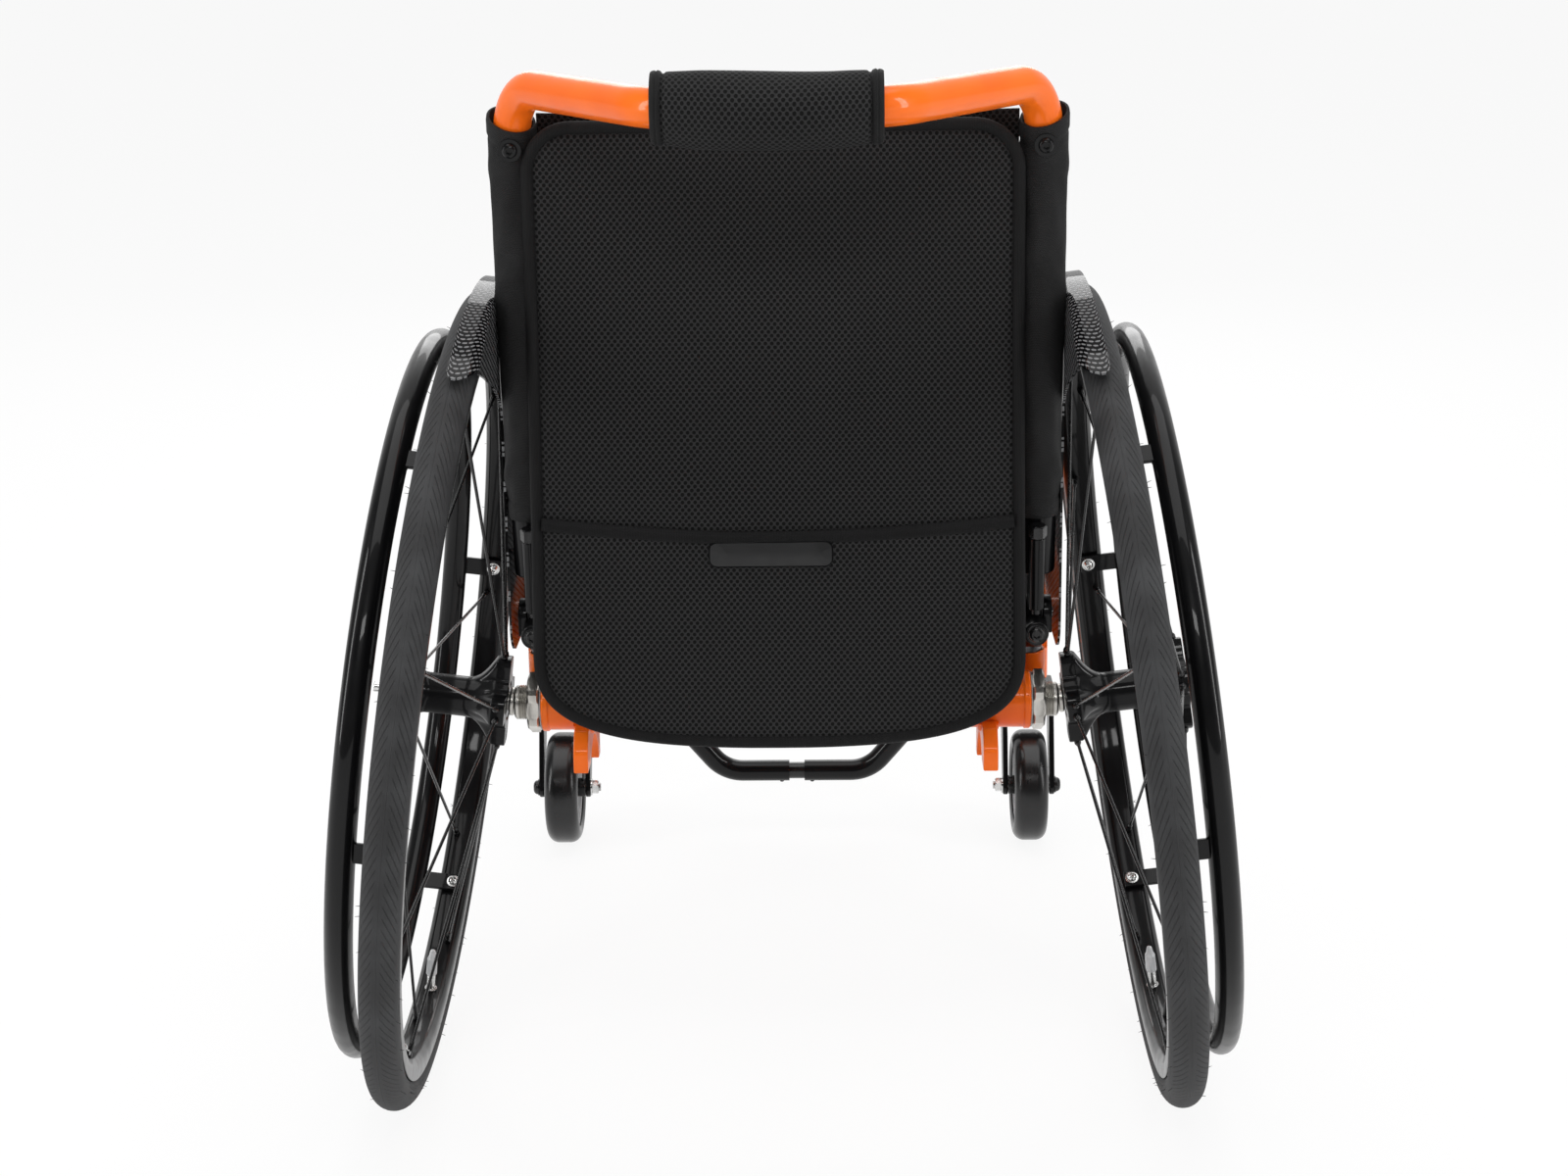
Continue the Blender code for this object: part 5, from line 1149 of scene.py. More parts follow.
def arch_bracket():
    """Arch plate under the axle tube, with its weld beads and a shorter leg at the rear."""
    rear_angle = 180.0 - degrees(asin((ARCH_REAR_FOOT - ARCH_Z) / ARCH_RADIUS))
    front_angle = degrees(asin((ARCH_FRONT_FOOT - ARCH_Z) / ARCH_RADIUS))
    rear = ARCH_Y - ARCH_RADIUS - ARCH_LEG
    front = ARCH_Y + ARCH_RADIUS + ARCH_LEG
    inside = arc((ARCH_Y, ARCH_Z), ARCH_RADIUS, front_angle, rear_angle, 28)
    outline = [(front, ARCH_FRONT_FOOT)] + inside
    outline += [(rear, ARCH_REAR_FOOT), (rear, ARCH_SHOULDER - 0.003),
                (rear + 0.002, ARCH_SHOULDER + 0.002), (rear + ARCH_LEG, ARCH_TOP)]
    outline += arc((0.0, AXLE_TUBE_Z), AXLE_TUBE_RADIUS + CLEARANCE, 211.0, 329.0, 24)
    outline += [(front - ARCH_LEG, ARCH_TOP), (front - 0.002, ARCH_SHOULDER + 0.002),
                (front, ARCH_SHOULDER - 0.003)]
    body = plate(outline, ARCH_X - ARCH_WIDTH / 2, ARCH_X + ARCH_WIDTH / 2, 0.0010)
    for x in (ARCH_X - ARCH_WIDTH / 2, ARCH_X + ARCH_WIDTH / 2):
        seam = [(x, y, z)
                for y, z in arc((0.0, AXLE_TUBE_Z), AXLE_TUBE_RADIUS + 0.0008, 214.0, 326.0, 40)]
        together(body, bead(seam, 0.0019))
    return body


# Seat frame, in the chair's axes


def rail_path():
    corner = (RAIL_X, RAIL_CORNER_Y, rail_z(RAIL_CORNER_Y))
    return rounded_path([(RAIL_X, BOSS_Y, rail_z(BOSS_Y)), corner, LEG_FOOT], [RAIL_BEND])


def leg_direction():
    return (LEG_FOOT - rail_path()[-2]).normalized()


def seat_rail():
    """Rail and front leg in one bent tube, its rear boss, the guard's tabs and the weld beads."""
    path = rail_path()
    body = tube(path, RAIL_RADIUS)
    boss = lathed([(BOSS_FOOT, RAIL_RADIUS), (BOSS_TOP, RAIL_RADIUS),
                   (BOSS_TOP, INSERT_RADIUS + 0.0004),
                   (BOSS_TOP - 0.020, INSERT_RADIUS + 0.0004)], 0.0012)
    together(body, upright(boss, RAIL_X, BOSS_Y))
    collar = ring_path((RAIL_X, BOSS_Y + RAIL_RADIUS, rail_z(BOSS_Y + RAIL_RADIUS)),
                       RAIL_RADIUS * 0.99, path[1] - path[0])
    together(body, bead(collar, 0.0018))
    for y in GUARD_TAB_Y:
        middle = rail_z(y)
        half = GUARD_TAB_WIDTH / 2
        low = middle - GUARD_TAB_DROP
        high = middle + GUARD_TAB_RISE
        corner = half * 0.9
        outline = [(y - half, low), (y + half, low)]
        outline += arc((y + half - corner, high - corner), corner, 0.0, 90.0, 8)
        outline += arc((y - half + corner, high - corner), corner, 90.0, 180.0, 8)
        together(body, plate(outline, RAIL_X + RAIL_RADIUS - 0.004, GUARD_X - CLEARANCE, 0.0006))
    return body


def insert_tube():
    """Grey tube in the rail's boss, with the flange that carries the pivot bracket."""
    flange = INSERT_RADIUS + 0.0009
    under = INSERT_TOP - 0.0022
    body = lathed([(INSERT_FOOT, INSERT_RADIUS), (under, INSERT_RADIUS), (under, flange),
                   (INSERT_TOP, flange)], 0.0005)
    return upright(body, RAIL_X, BOSS_Y)


def cross_tube():
    z = rail_z(CROSS_TUBE_Y) - CROSS_TUBE_DROP
    reach = RAIL_X - RAIL_RADIUS + 0.0035
    body = rod(-reach, reach, CROSS_TUBE_RADIUS)
    for side in (1, -1):
        together(body, bead(ring_path((side * (reach - 0.0030), 0.0, 0.0), CROSS_TUBE_RADIUS,
                                      (1, 0, 0)), 0.0016))
    return shifted(body, 0.0, CROSS_TUBE_Y, z)


def sling_rest(y):
    return rail_z(y) + RAIL_RADIUS / cos(radians(RAIL_SLOPE)) + CLEARANCE


def seat_sling():
    """Cloth over both rails, which sags between them and has a thicker hem all round."""
    def place(share, lean):
        x = SLING_HALF * lean
        y = SLING_REAR + (SLING_FRONT - SLING_REAR) * share
        inside = max(0.0, 1 - (x / RAIL_X) ** 2)
        ripple = 0.0006 * inside * sin(30 * x + 9 * share) * sin(pi * share)
        z = sling_rest(y) - SLING_SAG * inside * (0.85 + 0.15 * sin(pi * share)) + ripple
        edge = min(SLING_HALF - abs(x), y - SLING_REAR, SLING_FRONT - y)
        hem = 0.0006 if edge < SLING_HEM else 0.0
        return Vector((x, y, z + SLING_THICKNESS - 0.0008 + hem)), Vector((x, y, z)), (x, y)

    return slab(64, 80, place)


def sling_straps():
    """Three webbing straps under the sling, round both rails."""
    straps = bmesh.new()
    straps.loops.layers.uv.new("UVMap")
    for y in (0.105, 0.205, 0.305):
        path = []
        for k in range(49):
            x = SLING_HALF * (2 * k / 48 - 1) * 0.985
            inside = max(0.0, 1 - (x / RAIL_X) ** 2)
            z = sling_rest(y) - SLING_SAG * inside * 0.99 + SLING_THICKNESS + 0.0004
            path.append(Vector((x, y, z)))
        outline = [(-0.0190, -0.0006), (0.0190, -0.0006), (0.0192, 0.0)]
        outline += [(-a, -b) for a, b in outline]
        together(straps, swept(path, lambda k: outline, (0.0, 1.0, 0.0)))
    return straps


# Side guard, in the chair's axes


def fender_point(angle, offset):
    return wheel_matrix() @ around(GUARD_RADIUS, angle, offset)


def guard_point(angle, across, turn):
    """A point across the fender from its outer edge (0) to the bend (1), then round the bend."""
    edge = fender_point(angle, GUARD_EDGE_OFFSET)
    inward = (fender_point(angle, GUARD_EDGE_OFFSET - 0.001) - edge).normalized()
    point = edge + inward * ((edge.x - GUARD_X - GUARD_BEND) / -inward.x) * across
    return point + Vector((-GUARD_BEND * sin(radians(turn)), 0.0,
                           -GUARD_BEND * (1 - cos(radians(turn)))))


def guard_end(across, turn):
    """Degrees by which the fender's rear end is cut back: its round outer corner and its slant."""
    into = max(0.0, 1 - across / GUARD_END_SHARE)
    return (GUARD_END_CORNER * (1 - sqrt(1 - into ** 2))
            + GUARD_END_SLANT * ((across + turn / 90.0) / 2) ** 2)


def guard_column(angle, back=0.0):
    """One station of the guard, from the fender's outer edge over the bend to the sheet's foot.

    Back is 1 at the fender's rear end, and 0 from the lower sheet's rear edge on.
    """
    across = [(share, 0.0) for share in (0.0, 0.01, 0.035, 0.08, 0.16, 0.28, 0.44, 0.62, 0.81, 1.0)]
    across += [(1.0, 10.0 * k) for k in range(1, 10)]
    points = [guard_point(angle + back * guard_end(*place), *place) for place in across]
    y = points[-1].y
    head = points[-1].z
    lower_y = y
    if back > 0.0:
        rise = GUARD_EDGE_RISE * max(0.0, GUARD_REAR_Y - y) ** GUARD_EDGE_POWER
        foot = min(GUARD_SPLIT_Z + rise, head - 0.002)
        split = foot
    else:
        rear = degrees(asin(GUARD_REAR_Y / GUARD_RADIUS))
        share = (angle - rear) / (GUARD_FRONT_ANGLE - rear)
        lower_y = GUARD_REAR_Y + (GUARD_FRONT_FOOT_Y - GUARD_REAR_Y) * share
        into = max(GUARD_REAR_Y + GUARD_CORNER - lower_y,
                   lower_y - GUARD_FRONT_FOOT_Y + GUARD_CORNER, 0.0)
        foot = GUARD_FOOT_Z + GUARD_CORNER - sqrt(max(0.0, GUARD_CORNER ** 2 - into ** 2))
        split = min(GUARD_SPLIT_Z, head - 0.001)
    upper = [Vector((GUARD_X, y, head + (split - head) * k / 4)) for k in range(1, 5)]
    lower = [Vector((GUARD_X, y + (lower_y - y) * k / 14, split + (foot - split) * k / 14))
             for k in range(1, 15)]
    return points + upper + lower


def side_guard():
    """Fender and upright sheet in one carbon moulding."""
    rear = degrees(asin(GUARD_REAR_Y / GUARD_RADIUS))
    sweep = rear - GUARD_REAR_ANGLE
    columns = [guard_column(GUARD_REAR_ANGLE + sweep * k / 40, 1 - k / 40) for k in range(40)]
    ease = [sin(pi / 2 * k / 8) for k in range(9)]
    shares = [0.09 * (1 - ease[8 - k]) for k in range(9)]
    shares += [0.09 + 0.82 * k / 36 for k in range(1, 36)]
    shares += [0.91 + 0.09 * ease[k] for k in range(9)]
    front = [rear + (GUARD_FRONT_ANGLE - rear) * share for share in shares]
    columns += [guard_column(angle) for angle in front]
    uvs = []
    reach = 0.0
    for k, column in enumerate(columns):
        if k:
            reach += (column[9] - columns[k - 1][9]).length
        down = [0.0]
        for a, b in zip(column, column[1:]):
            down.append(down[-1] + (b - a).length)
        uvs.append([(reach, distance) for distance in down])
    bm = skin(columns, False, uvs)
    bmesh.ops.remove_doubles(bm, verts=bm.verts, dist=1e-5)
    bmesh.ops.recalc_face_normals(bm, faces=bm.faces)
    if sum(face.normal.x for face in bm.faces) > 0:
        bmesh.ops.reverse_faces(bm, faces=bm.faces)

    def thicken(body):
        modifier = body.modifiers.new("thicken", "SOLIDIFY")
        modifier.thickness = GUARD_THICKNESS
        modifier.offset = -1.0
        modifier.use_even_offset = True
        modifier.material_offset_rim = 1

    return evaluated(bm, thicken)


def guard_screws():
    """Flat washers and domed screws that hold the guard to its tabs."""
    parts = []
    for y in GUARD_TAB_Y:
        seat = (GUARD_X + GUARD_THICKNESS, y, rail_z(y) + GUARD_TAB_RISE - 0.010)
        parts.append(aimed(socket_bolt(*GUARD_SCREW), seat, (1.0, 0.0, 0.0)))
    return together(*parts)


# Backrest mechanism, in the chair's axes


def pivot_bracket():
    """Bracket on the height insert with two cheeks for the hinge and a boss for its clamp bolt."""
    boss = rod(PIVOT_BOSS_REAR, PIVOT_BOSS_FRONT, PIVOT_BOSS_RADIUS, 0.0016)
    body = shifted(moved(boss, TO_Y), POST_X, 0.0, PIVOT_BOSS_Z - 0.0004)
    outline = arc((0.0, HINGE_Z), CHEEK_RADIUS, 0.0, 180.0, 24)
    outline += [(-CHEEK_RADIUS, PIVOT_BOSS_Z - 0.005), (CHEEK_RADIUS, PIVOT_BOSS_Z - 0.005)]
    for near, far in ((CHEEK_INNER, CHEEK_OUTER), (-CHEEK_OUTER, -CHEEK_INNER)):
        together(body, plate(outline, POST_X + near, POST_X + far, 0.0009))
    foot = INSERT_TOP + CLEARANCE
    together(body, upright(rod(foot, foot + 0.0115, INSERT_RADIUS, 0.0014), RAIL_X, BOSS_Y))
    low = foot + 0.0012
    high = low + 0.0091
    heel = (low + PIVOT_BOSS_Z) / 2
    web = [(-0.008, heel), (0.006, low), (BOSS_Y, low), (BOSS_Y, high), (0.014, high),
           (0.006, PIVOT_BOSS_Z - 0.0012), (-0.008, PIVOT_BOSS_Z - 0.0012)]
    middle = (RAIL_X + POST_X) / 2
    return together(body,
                    plate(web, middle - PIVOT_WEB_WIDTH / 2, middle + PIVOT_WEB_WIDTH / 2, 0.0012))


def pivot_bolt():
    seat = (POST_X, PIVOT_BOSS_REAR - CLEARANCE, PIVOT_BOSS_Z)
    return aimed(socket_bolt(*PIVOT_BOLT), seat, (0.0, -1.0, 0.0))


def hinge_pin():
    inner = POST_X - CHEEK_OUTER - CLEARANCE
    pin = lathed([(inner - 0.0018, PIN_HEAD), (inner, PIN_HEAD), (inner, 0.004),
                  (POST_X + CHEEK_OUTER + 0.0012, 0.004)], 0.0005, SMALL_SIDES)
    return shifted(pin, 0.0, 0.0, HINGE_Z)


# Backrest pieces, in the hinge's own axes with Z up the posts


def in_place(bm):
    return moved(bm, back_matrix())


def back_post():
    """Round post and its flat tongue for the hinge."""
    tube_part = upright(rod(POST_FOOT, POST_TOP, POST_RADIUS, 0.0015), POST_X, 0.0)
    outline = arc((0.0, 0.0), TONGUE_RADIUS, 180.0, 360.0, 20)
    outline += [(TONGUE_RADIUS, POST_FOOT + 0.004), (-TONGUE_RADIUS, POST_FOOT + 0.004)]
    tongue = plate(outline, POST_X - TONGUE_HALF, POST_X + TONGUE_HALF, 0.0008)
    return in_place(together(tube_part, tongue))


def stop_tube():
    """Tube behind the post, with the web that joins them."""
    profile = [(STOP_FOOT, 0.0033), (STOP_FOOT, STOP_RADIUS), (STOP_TOP, STOP_RADIUS),
               (STOP_TOP, 0.0033)]
    body = upright(turned(softened(profile, 0.0008), SMALL_SIDES), POST_X, -STOP_OFFSET)
    web = plate([(-STOP_OFFSET, POST_FOOT + 0.0012), (-POST_RADIUS + 0.0012, POST_FOOT + 0.0012),
                 (-POST_RADIUS + 0.0012, STOP_TOP - 0.0012), (-STOP_OFFSET, STOP_TOP - 0.0012)],
                POST_X - 0.004, POST_X + 0.004, 0.0006)
    return in_place(together(body, web))


def stop_screw():
    """Screw with a six-sided head on the stop tube."""
    seat = STOP_TOP + CLEARANCE
    end = seat + STOP_HEAD_LENGTH
    corners = STOP_HEAD_CORNERS
    flats = corners * cos(pi / 6)
    head = turned([(seat, 0.0), (seat, flats * 0.98, corners), (seat + 0.0008, corners, corners),
                   (end - 0.0010, corners, corners), (end, flats * 0.94, corners), (end, 0.0)],
                  SMALL_SIDES)
    shank = rod(0.0077, seat + 0.0012, STOP_SCREW_RADIUS, 0.0005, SMALL_SIDES)
    return in_place(upright(together(shank, head), POST_X, -STOP_OFFSET))


def sleeve_wrinkle(angle, height):
    """How far the post's cloth sleeve stands out at an angle round it and a height along it."""
    soft = sin(7 * angle + 55 * height) * sin(41 * height + 1.3)
    soft = (soft + 0.7 * sin(3 * angle - 88 * height)) / 1.7
    sharp = max(0.0, sin(62 * height + 1.6 * sin(angle + 0.5) + 0.9 * sin(17 * height))) ** 6
    ends = min(1.0, (height - SLEEVE_FOOT) / 0.030, (SLEEVE_TOP - height) / 0.050)
    return max(0.0, ends) * (SOFT_WRINKLE * soft + SHARP_WRINKLE * sharp)


def sleeve_top(angle):
    """Height of the sleeve's slanted mouth, which is highest away from the bar's bend."""
    return SLEEVE_TOP + SLEEVE_SLANT * (1 + cos(angle - radians(SLEEVE_HIGH_SIDE))) / 2


def back_sleeve():
    """Cloth sleeve round the post, with a stitched hem at each end and the wrinkles of its pull."""
    turns = [2 * pi * k / SLEEVE_SIDES for k in range(SLEEVE_SIDES)]
    rings = []
    for row in range(SLEEVE_ROWS + 1):
        ring = []
        for angle in turns:
            top = sleeve_top(angle)
            height = SLEEVE_FOOT + (top - SLEEVE_FOOT) * row / SLEEVE_ROWS
            from_end = min(height - SLEEVE_FOOT, top - height)
            hem = 0.0005 if 0.0008 < from_end < SLEEVE_HEM - 0.0015 else 0.0
            stitch = -0.0005 if abs(from_end - SLEEVE_HEM) < 0.0014 else 0.0
            reach = SLEEVE_OUTER + hem + stitch + sleeve_wrinkle(angle, height)
            ring.append(Vector((reach * cos(angle), reach * sin(angle), height)))
        rings.append(ring)
    inner = SLEEVE_OUTER - SLEEVE_THICKNESS
    for outer in (rings[-1], rings[0]):
        rings.append([Vector((inner * cos(angle), inner * sin(angle), point.z))
                      for angle, point in zip(turns, outer)])
    rings.append([point.copy() for point in rings[0]])
    return in_place(shifted(skin(rings), POST_X, 0.0, 0.0))


def cover_bolt():
    seat = (POST_X, -SLEEVE_OUTER - 0.0004, COVER_BOLT_AT)
    return in_place(aimed(socket_bolt(*COVER_BOLT), seat, (0.0, -1.0, 0.0)))


def bar_path(foot):
    """The push bar's centre line from the right post to the left one, in the hinge's axes."""
    corner = Vector((POST_X, 0.0, (BAR_Z - HINGE_Z) / cos(radians(RECLINE))))
    right = [Vector((POST_X, 0.0, foot)), corner, in_back(BAR_CORNER_X, BAR_CORNER_Y, BAR_Z),
             in_back(0.0, BAR_CENTRE_Y, BAR_Z)]
    left = [Vector((-point.x, point.y, point.z)) for point in reversed(right[:-1])]
    return rounded_path(right + left, BAR_BENDS)


def push_bar():
    return in_place(tube(bar_path(POST_TOP - 0.0897), BAR_RADIUS))


def bar_point(path, x):
    """The point of the bar's centre line at a given X."""
    for before, after in zip(path, path[1:]):
        if before.x >= x > after.x:
            return before.lerp(after, (before.x - x) / (before.x - after.x))
    return path[-1]


def grip_reach(along, angle):
    """The pad's radius at a distance from its middle, with the seam of its lower side."""
    from_end = GRIP_HALF - abs(along)
    swell = 1 - (1 - min(1.0, from_end / 0.040)) ** 2
    reach = GRIP_END_RADIUS + (GRIP_RADIUS - GRIP_END_RADIUS) * swell
    if from_end < GRIP_HEM:
        reach += 0.0011 * sin(pi * from_end / GRIP_HEM) ** 0.6
        reach -= 0.0008 * exp(-((from_end - 0.0036) / 0.0005) ** 2)
    reach -= 0.0014 * exp(-((from_end - GRIP_HEM - 0.0008) / 0.0011) ** 2)
    lump = 0.0004 * sin(38 * along + 2 * angle) + 0.0003 * sin(3 * angle + 60 * along)
    return reach + lump * min(1.0, max(0.0, from_end / 0.02 - 0.5))


def grip_sleeve():
    """Padded sleeve round the middle of the push bar, with a bound hem at each end."""
    path = bar_path(POST_TOP)
    turns = [2 * pi * k / GRIP_SIDES for k in range(GRIP_SIDES)]
    rings = []
    bands = []
    for row in range(GRIP_ROWS + 1):
        share = 2 * row / GRIP_ROWS - 1
        along = GRIP_HALF * (0.6 * sin(pi / 2 * share) + 0.4 * share)
        point = bar_point(path, GRIP_MIDDLE - along)
        rings.append([point + Vector((0.0, sin(turn), cos(turn))) * grip_reach(along, turn)
                      for turn in turns])
        bands.append(1 if GRIP_HALF - abs(along) < GRIP_HEM else 0)
    for place, ring in ((0, rings[0]), (len(rings) + 1, rings[-1])):
        middle = sum(ring, Vector()) / len(ring)
        rings.insert(place, [middle + (point - middle) * 0.63 for point in ring])
        bands.insert(place, 1)
    return in_place(skin(rings, True, None, bands))


def panel_half_width(z):
    if z > PANEL_TOP - PANEL_CORNER:
        rise = z - (PANEL_TOP - PANEL_CORNER)
        return PANEL_HALF - PANEL_CORNER + sqrt(max(0.0, PANEL_CORNER ** 2 - rise ** 2))
    if z > PANEL_ROUND_FROM:
        share = (PANEL_TOP - PANEL_CORNER - z) / (PANEL_TOP - PANEL_CORNER - PANEL_ROUND_FROM)
        return PANEL_HALF + (PANEL_LOW_HALF - PANEL_HALF) * share
    drop = min(1.0, (PANEL_ROUND_FROM - z) / (PANEL_ROUND_FROM - PANEL_FOOT))
    return PANEL_LOW_HALF * (1 - drop ** PANEL_ROUND_POWER) ** (1 / PANEL_ROUND_POWER)


def panel_outline():
    """The panel's outline as (X, Z) points, from the middle of its top round by the right side."""
    straight = PANEL_TOP - PANEL_CORNER
    low = PANEL_ROUND_FROM - PANEL_FOOT
    power = 2 / PANEL_ROUND_POWER
    right = [((PANEL_HALF - PANEL_CORNER) * k / 18, PANEL_TOP) for k in range(18)]
    right += [(PANEL_HALF - PANEL_CORNER * (1 - sin(a)), PANEL_TOP - PANEL_CORNER * (1 - cos(a)))
              for a in map(radians, range(0, 90, 6))]
    right += [(panel_half_width(z), z)
              for z in [straight - (straight - PANEL_ROUND_FROM) * k / 54 for k in range(54)]]
    right += [(PANEL_LOW_HALF * cos(a) ** power, PANEL_ROUND_FROM - low * sin(a) ** power)
              for a in [radians(90 * (k / 44) ** 1.2) for k in range(45)]]
    return right + mirrored(right[1:-1])


def fold_height(x, z):
    """How far the panel's folds stand back from its smooth surface."""
    total = 0.0
    for fold_x, fold_z, lean, half_width, half_length, height in FOLDS:
        run = radians(lean)
        along = (x - fold_x) * sin(run) + (z - fold_z) * cos(run)
        over = (x - fold_x) * cos(run) - (z - fold_z) * sin(run)
        total += height * exp(-(over / half_width) ** 2 - (along / half_length) ** 2)
    return total


def pocket_line(x):
    """Height of the pocket's upper edge."""
    return POCKET_Z + POCKET_RISE * (x / PANEL_LOW_HALF) ** 2


def panel_point(x, z, behind):
    """A point of the panel at a depth behind its front face, in the hinge's axes."""
    half = panel_half_width(min(z, PANEL_TOP - 0.001))
    below = max(0.0, PANEL_KICK_FROM - z) / (PANEL_KICK_FROM - PANEL_FOOT)
    kick = PANEL_KICK * below ** PANEL_KICK_POWER
    seat = sqrt((SLEEVE_OUTER * 0.98) ** 2 - (POST_X - PANEL_HALF) ** 2) + 0.0006
    y = -(z - HINGE_Z) * tan(radians(RECLINE)) - seat / cos(radians(RECLINE)) - kick
    inside = max(0.0, 1 - (x / max(half, 0.02)) ** 4)
    pocket = POCKET_STEP * min(1.0, max(0.0, (pocket_line(x) - z) / 0.012)) * inside
    return in_back(x + PANEL_SHIFT, y - behind - fold_height(x, z) * inside - pocket, z)


def back_panel():
    """Rear panel: spacer mesh bound with tape, in rings from its spine to its edge and back."""
    outline = [Vector(point) for point in panel_outline()]
    count = len(outline)
    ways = [(outline[(k + 1) % count] - outline[k - 1]).normalized() for k in range(count)]
    rings = []
    uvs = []
    bands = []

    def inset(distance):
        return [p + Vector((way.y, -way.x)) * distance for p, way in zip(outline, ways)]

    def put(flat, behind, band):
        rings.append([panel_point(p.x, p.y, behind) for p in flat])
        uvs.append([(p.x, p.y) for p in flat])
        bands.append(band)

    width, depth = PANEL_EDGE[-1]
    rim = inset(width)
    lowest = PANEL_FOOT + SPINE_MARGIN
    spine = [Vector((0.0, min(max(p.y, lowest), PANEL_TOP - SPINE_MARGIN))) for p in rim]
    for k in range(PANEL_INSIDE_ROWS):
        put([a.lerp(b, 1 - k / PANEL_INSIDE_ROWS) for a, b in zip(rim, spine)], depth, 0)
    for distance, behind in reversed(PANEL_EDGE):
        put(inset(distance), behind, 1 if distance < 0.0090 else 0)
    for distance, behind in ((0.0006, 0.0006), (0.0030, 0.0), (0.0150, 0.0)):
        put(inset(distance), behind, 1)
    for k in range(1, 9):
        put([a.lerp(b, k / 8) for a, b in zip(rim, spine)], 0.0, 0)
    return in_place(skin(rings, True, uvs, bands))


def pocket_tape():
    """Folded tape along the pocket's upper edge."""
    path = []
    for k in range(81):
        x = (PANEL_LOW_HALF - 0.0090) * (2 * k / 80 - 1)
        path.append(panel_point(x, pocket_line(x), PANEL_THICKNESS + 0.0012))
    outline = []
    for k in range(28):
        across = cos(2 * pi * k / 28)
        over = sin(2 * pi * k / 28)
        narrow = 0.90 if abs(over) < 0.3 else 1.0
        fold = 0.0007 if abs(across) < 0.25 else 0.0
        outline.append((POCKET_TAPE_HALF * across * narrow,
                        POCKET_TAPE_THICKNESS / 2 * over - fold))
    return in_place(swept(path, lambda k: outline, (0.0, 0.0, 1.0)))


def bare_patch():
    """Stitched patch under the pocket's edge, left bare."""
    spots = []
    for start, x, y in ((0, 1, 1), (90, -1, 1), (180, -1, -1), (270, 1, -1)):
        for turn in range(start, start + 91, 15):
            spots.append(((PATCH_HALF - PATCH_CORNER) * x + PATCH_CORNER * cos(radians(turn)),
                          (PATCH_HALF_HEIGHT - PATCH_CORNER) * y
                          + PATCH_CORNER * sin(radians(turn))))
    rings = []
    for scale, behind in ((0.0, 1.0), (0.30, 1.0), (0.60, 1.0), (0.90, 1.0), (0.94, 0.55),
                          (0.97, 0.95), (1.0, 0.55), (1.0, -0.5)):
        depth = PANEL_THICKNESS + 0.0006 + PATCH_THICKNESS * behind
        ring = []
        for x, y in spots:
            if scale < 0.9:
                inset = x * (0.78 + 0.13 * scale / 0.9)
            else:
                inset = x - copysign((1 - scale) * PATCH_HALF_HEIGHT, x)
            ring.append(panel_point(PATCH_X + inset, PATCH_Z + y * scale, depth))
        rings.append(ring)
    return in_place(skin(rings))


def back_upholstery():
    """Front side of the cover, slack in its middle, with two upright seams."""
    def place(share, lean):
        x = UPHOLSTERY_HALF * lean
        z = UPHOLSTERY_FOOT + (UPHOLSTERY_TOP - UPHOLSTERY_FOOT) * share
        sag = UPHOLSTERY_SAG * (1 - (x / UPHOLSTERY_HALF) ** 2)
        edge = max(0.0, min(UPHOLSTERY_HALF - abs(x), z - UPHOLSTERY_FOOT, UPHOLSTERY_TOP - z))
        puff = min(1.0, edge / 0.010) ** 0.5
        seam = exp(-((abs(x) - 0.085) / 0.0035) ** 2)
        front = UPHOLSTERY_THICKNESS * (0.35 + 0.65 * puff - 0.30 * seam) - sag
        return Vector((x, front, z)), Vector((x, -sag, z)), (x, z)

    return in_place(slab(60, 72, place))


# Casters


def caster_housing():
    """Stem housing with its cap and a short arm to the front leg."""
    profile = [(HOUSING_FOOT, 0.0070), (HOUSING_FOOT, HOUSING_RADIUS),
               (HOUSING_TOP, HOUSING_RADIUS), (HOUSING_TOP, 0.0)]
    body = upright(turned(softened(profile, 0.0018)), CASTER_X, STEM_Y)
    arm_start = LEG_X + RAIL_RADIUS * 0.82
    arm = shifted(rod(arm_start, CASTER_X, ARM_RADIUS), 0.0, ARM_Y, ARM_Z)
    seam = (CASTER_X - HOUSING_RADIUS + 0.0020, ARM_Y, ARM_Z)
    weld = bead(ring_path(seam, ARM_RADIUS * 0.99, (1, 0, 0)), 0.0017)
    return together(body, arm, weld)


def housing_cap():
    """Domed cap on the stem housing."""
    profile = [(HOUSING_TOP - 0.002, 0.0), (HOUSING_TOP - 0.002, 0.0135),
               (HOUSING_TOP + 0.0012, 0.0135), (HOUSING_TOP + 0.0030, 0.0105),
               (HOUSING_TOP + 0.0036, 0.0)]
    return upright(turned(softened(profile, 0.0012)), CASTER_X, STEM_Y)


def in_fork(bm):
    return shifted(bm, CASTER_X, STEM_Y, 0.0)


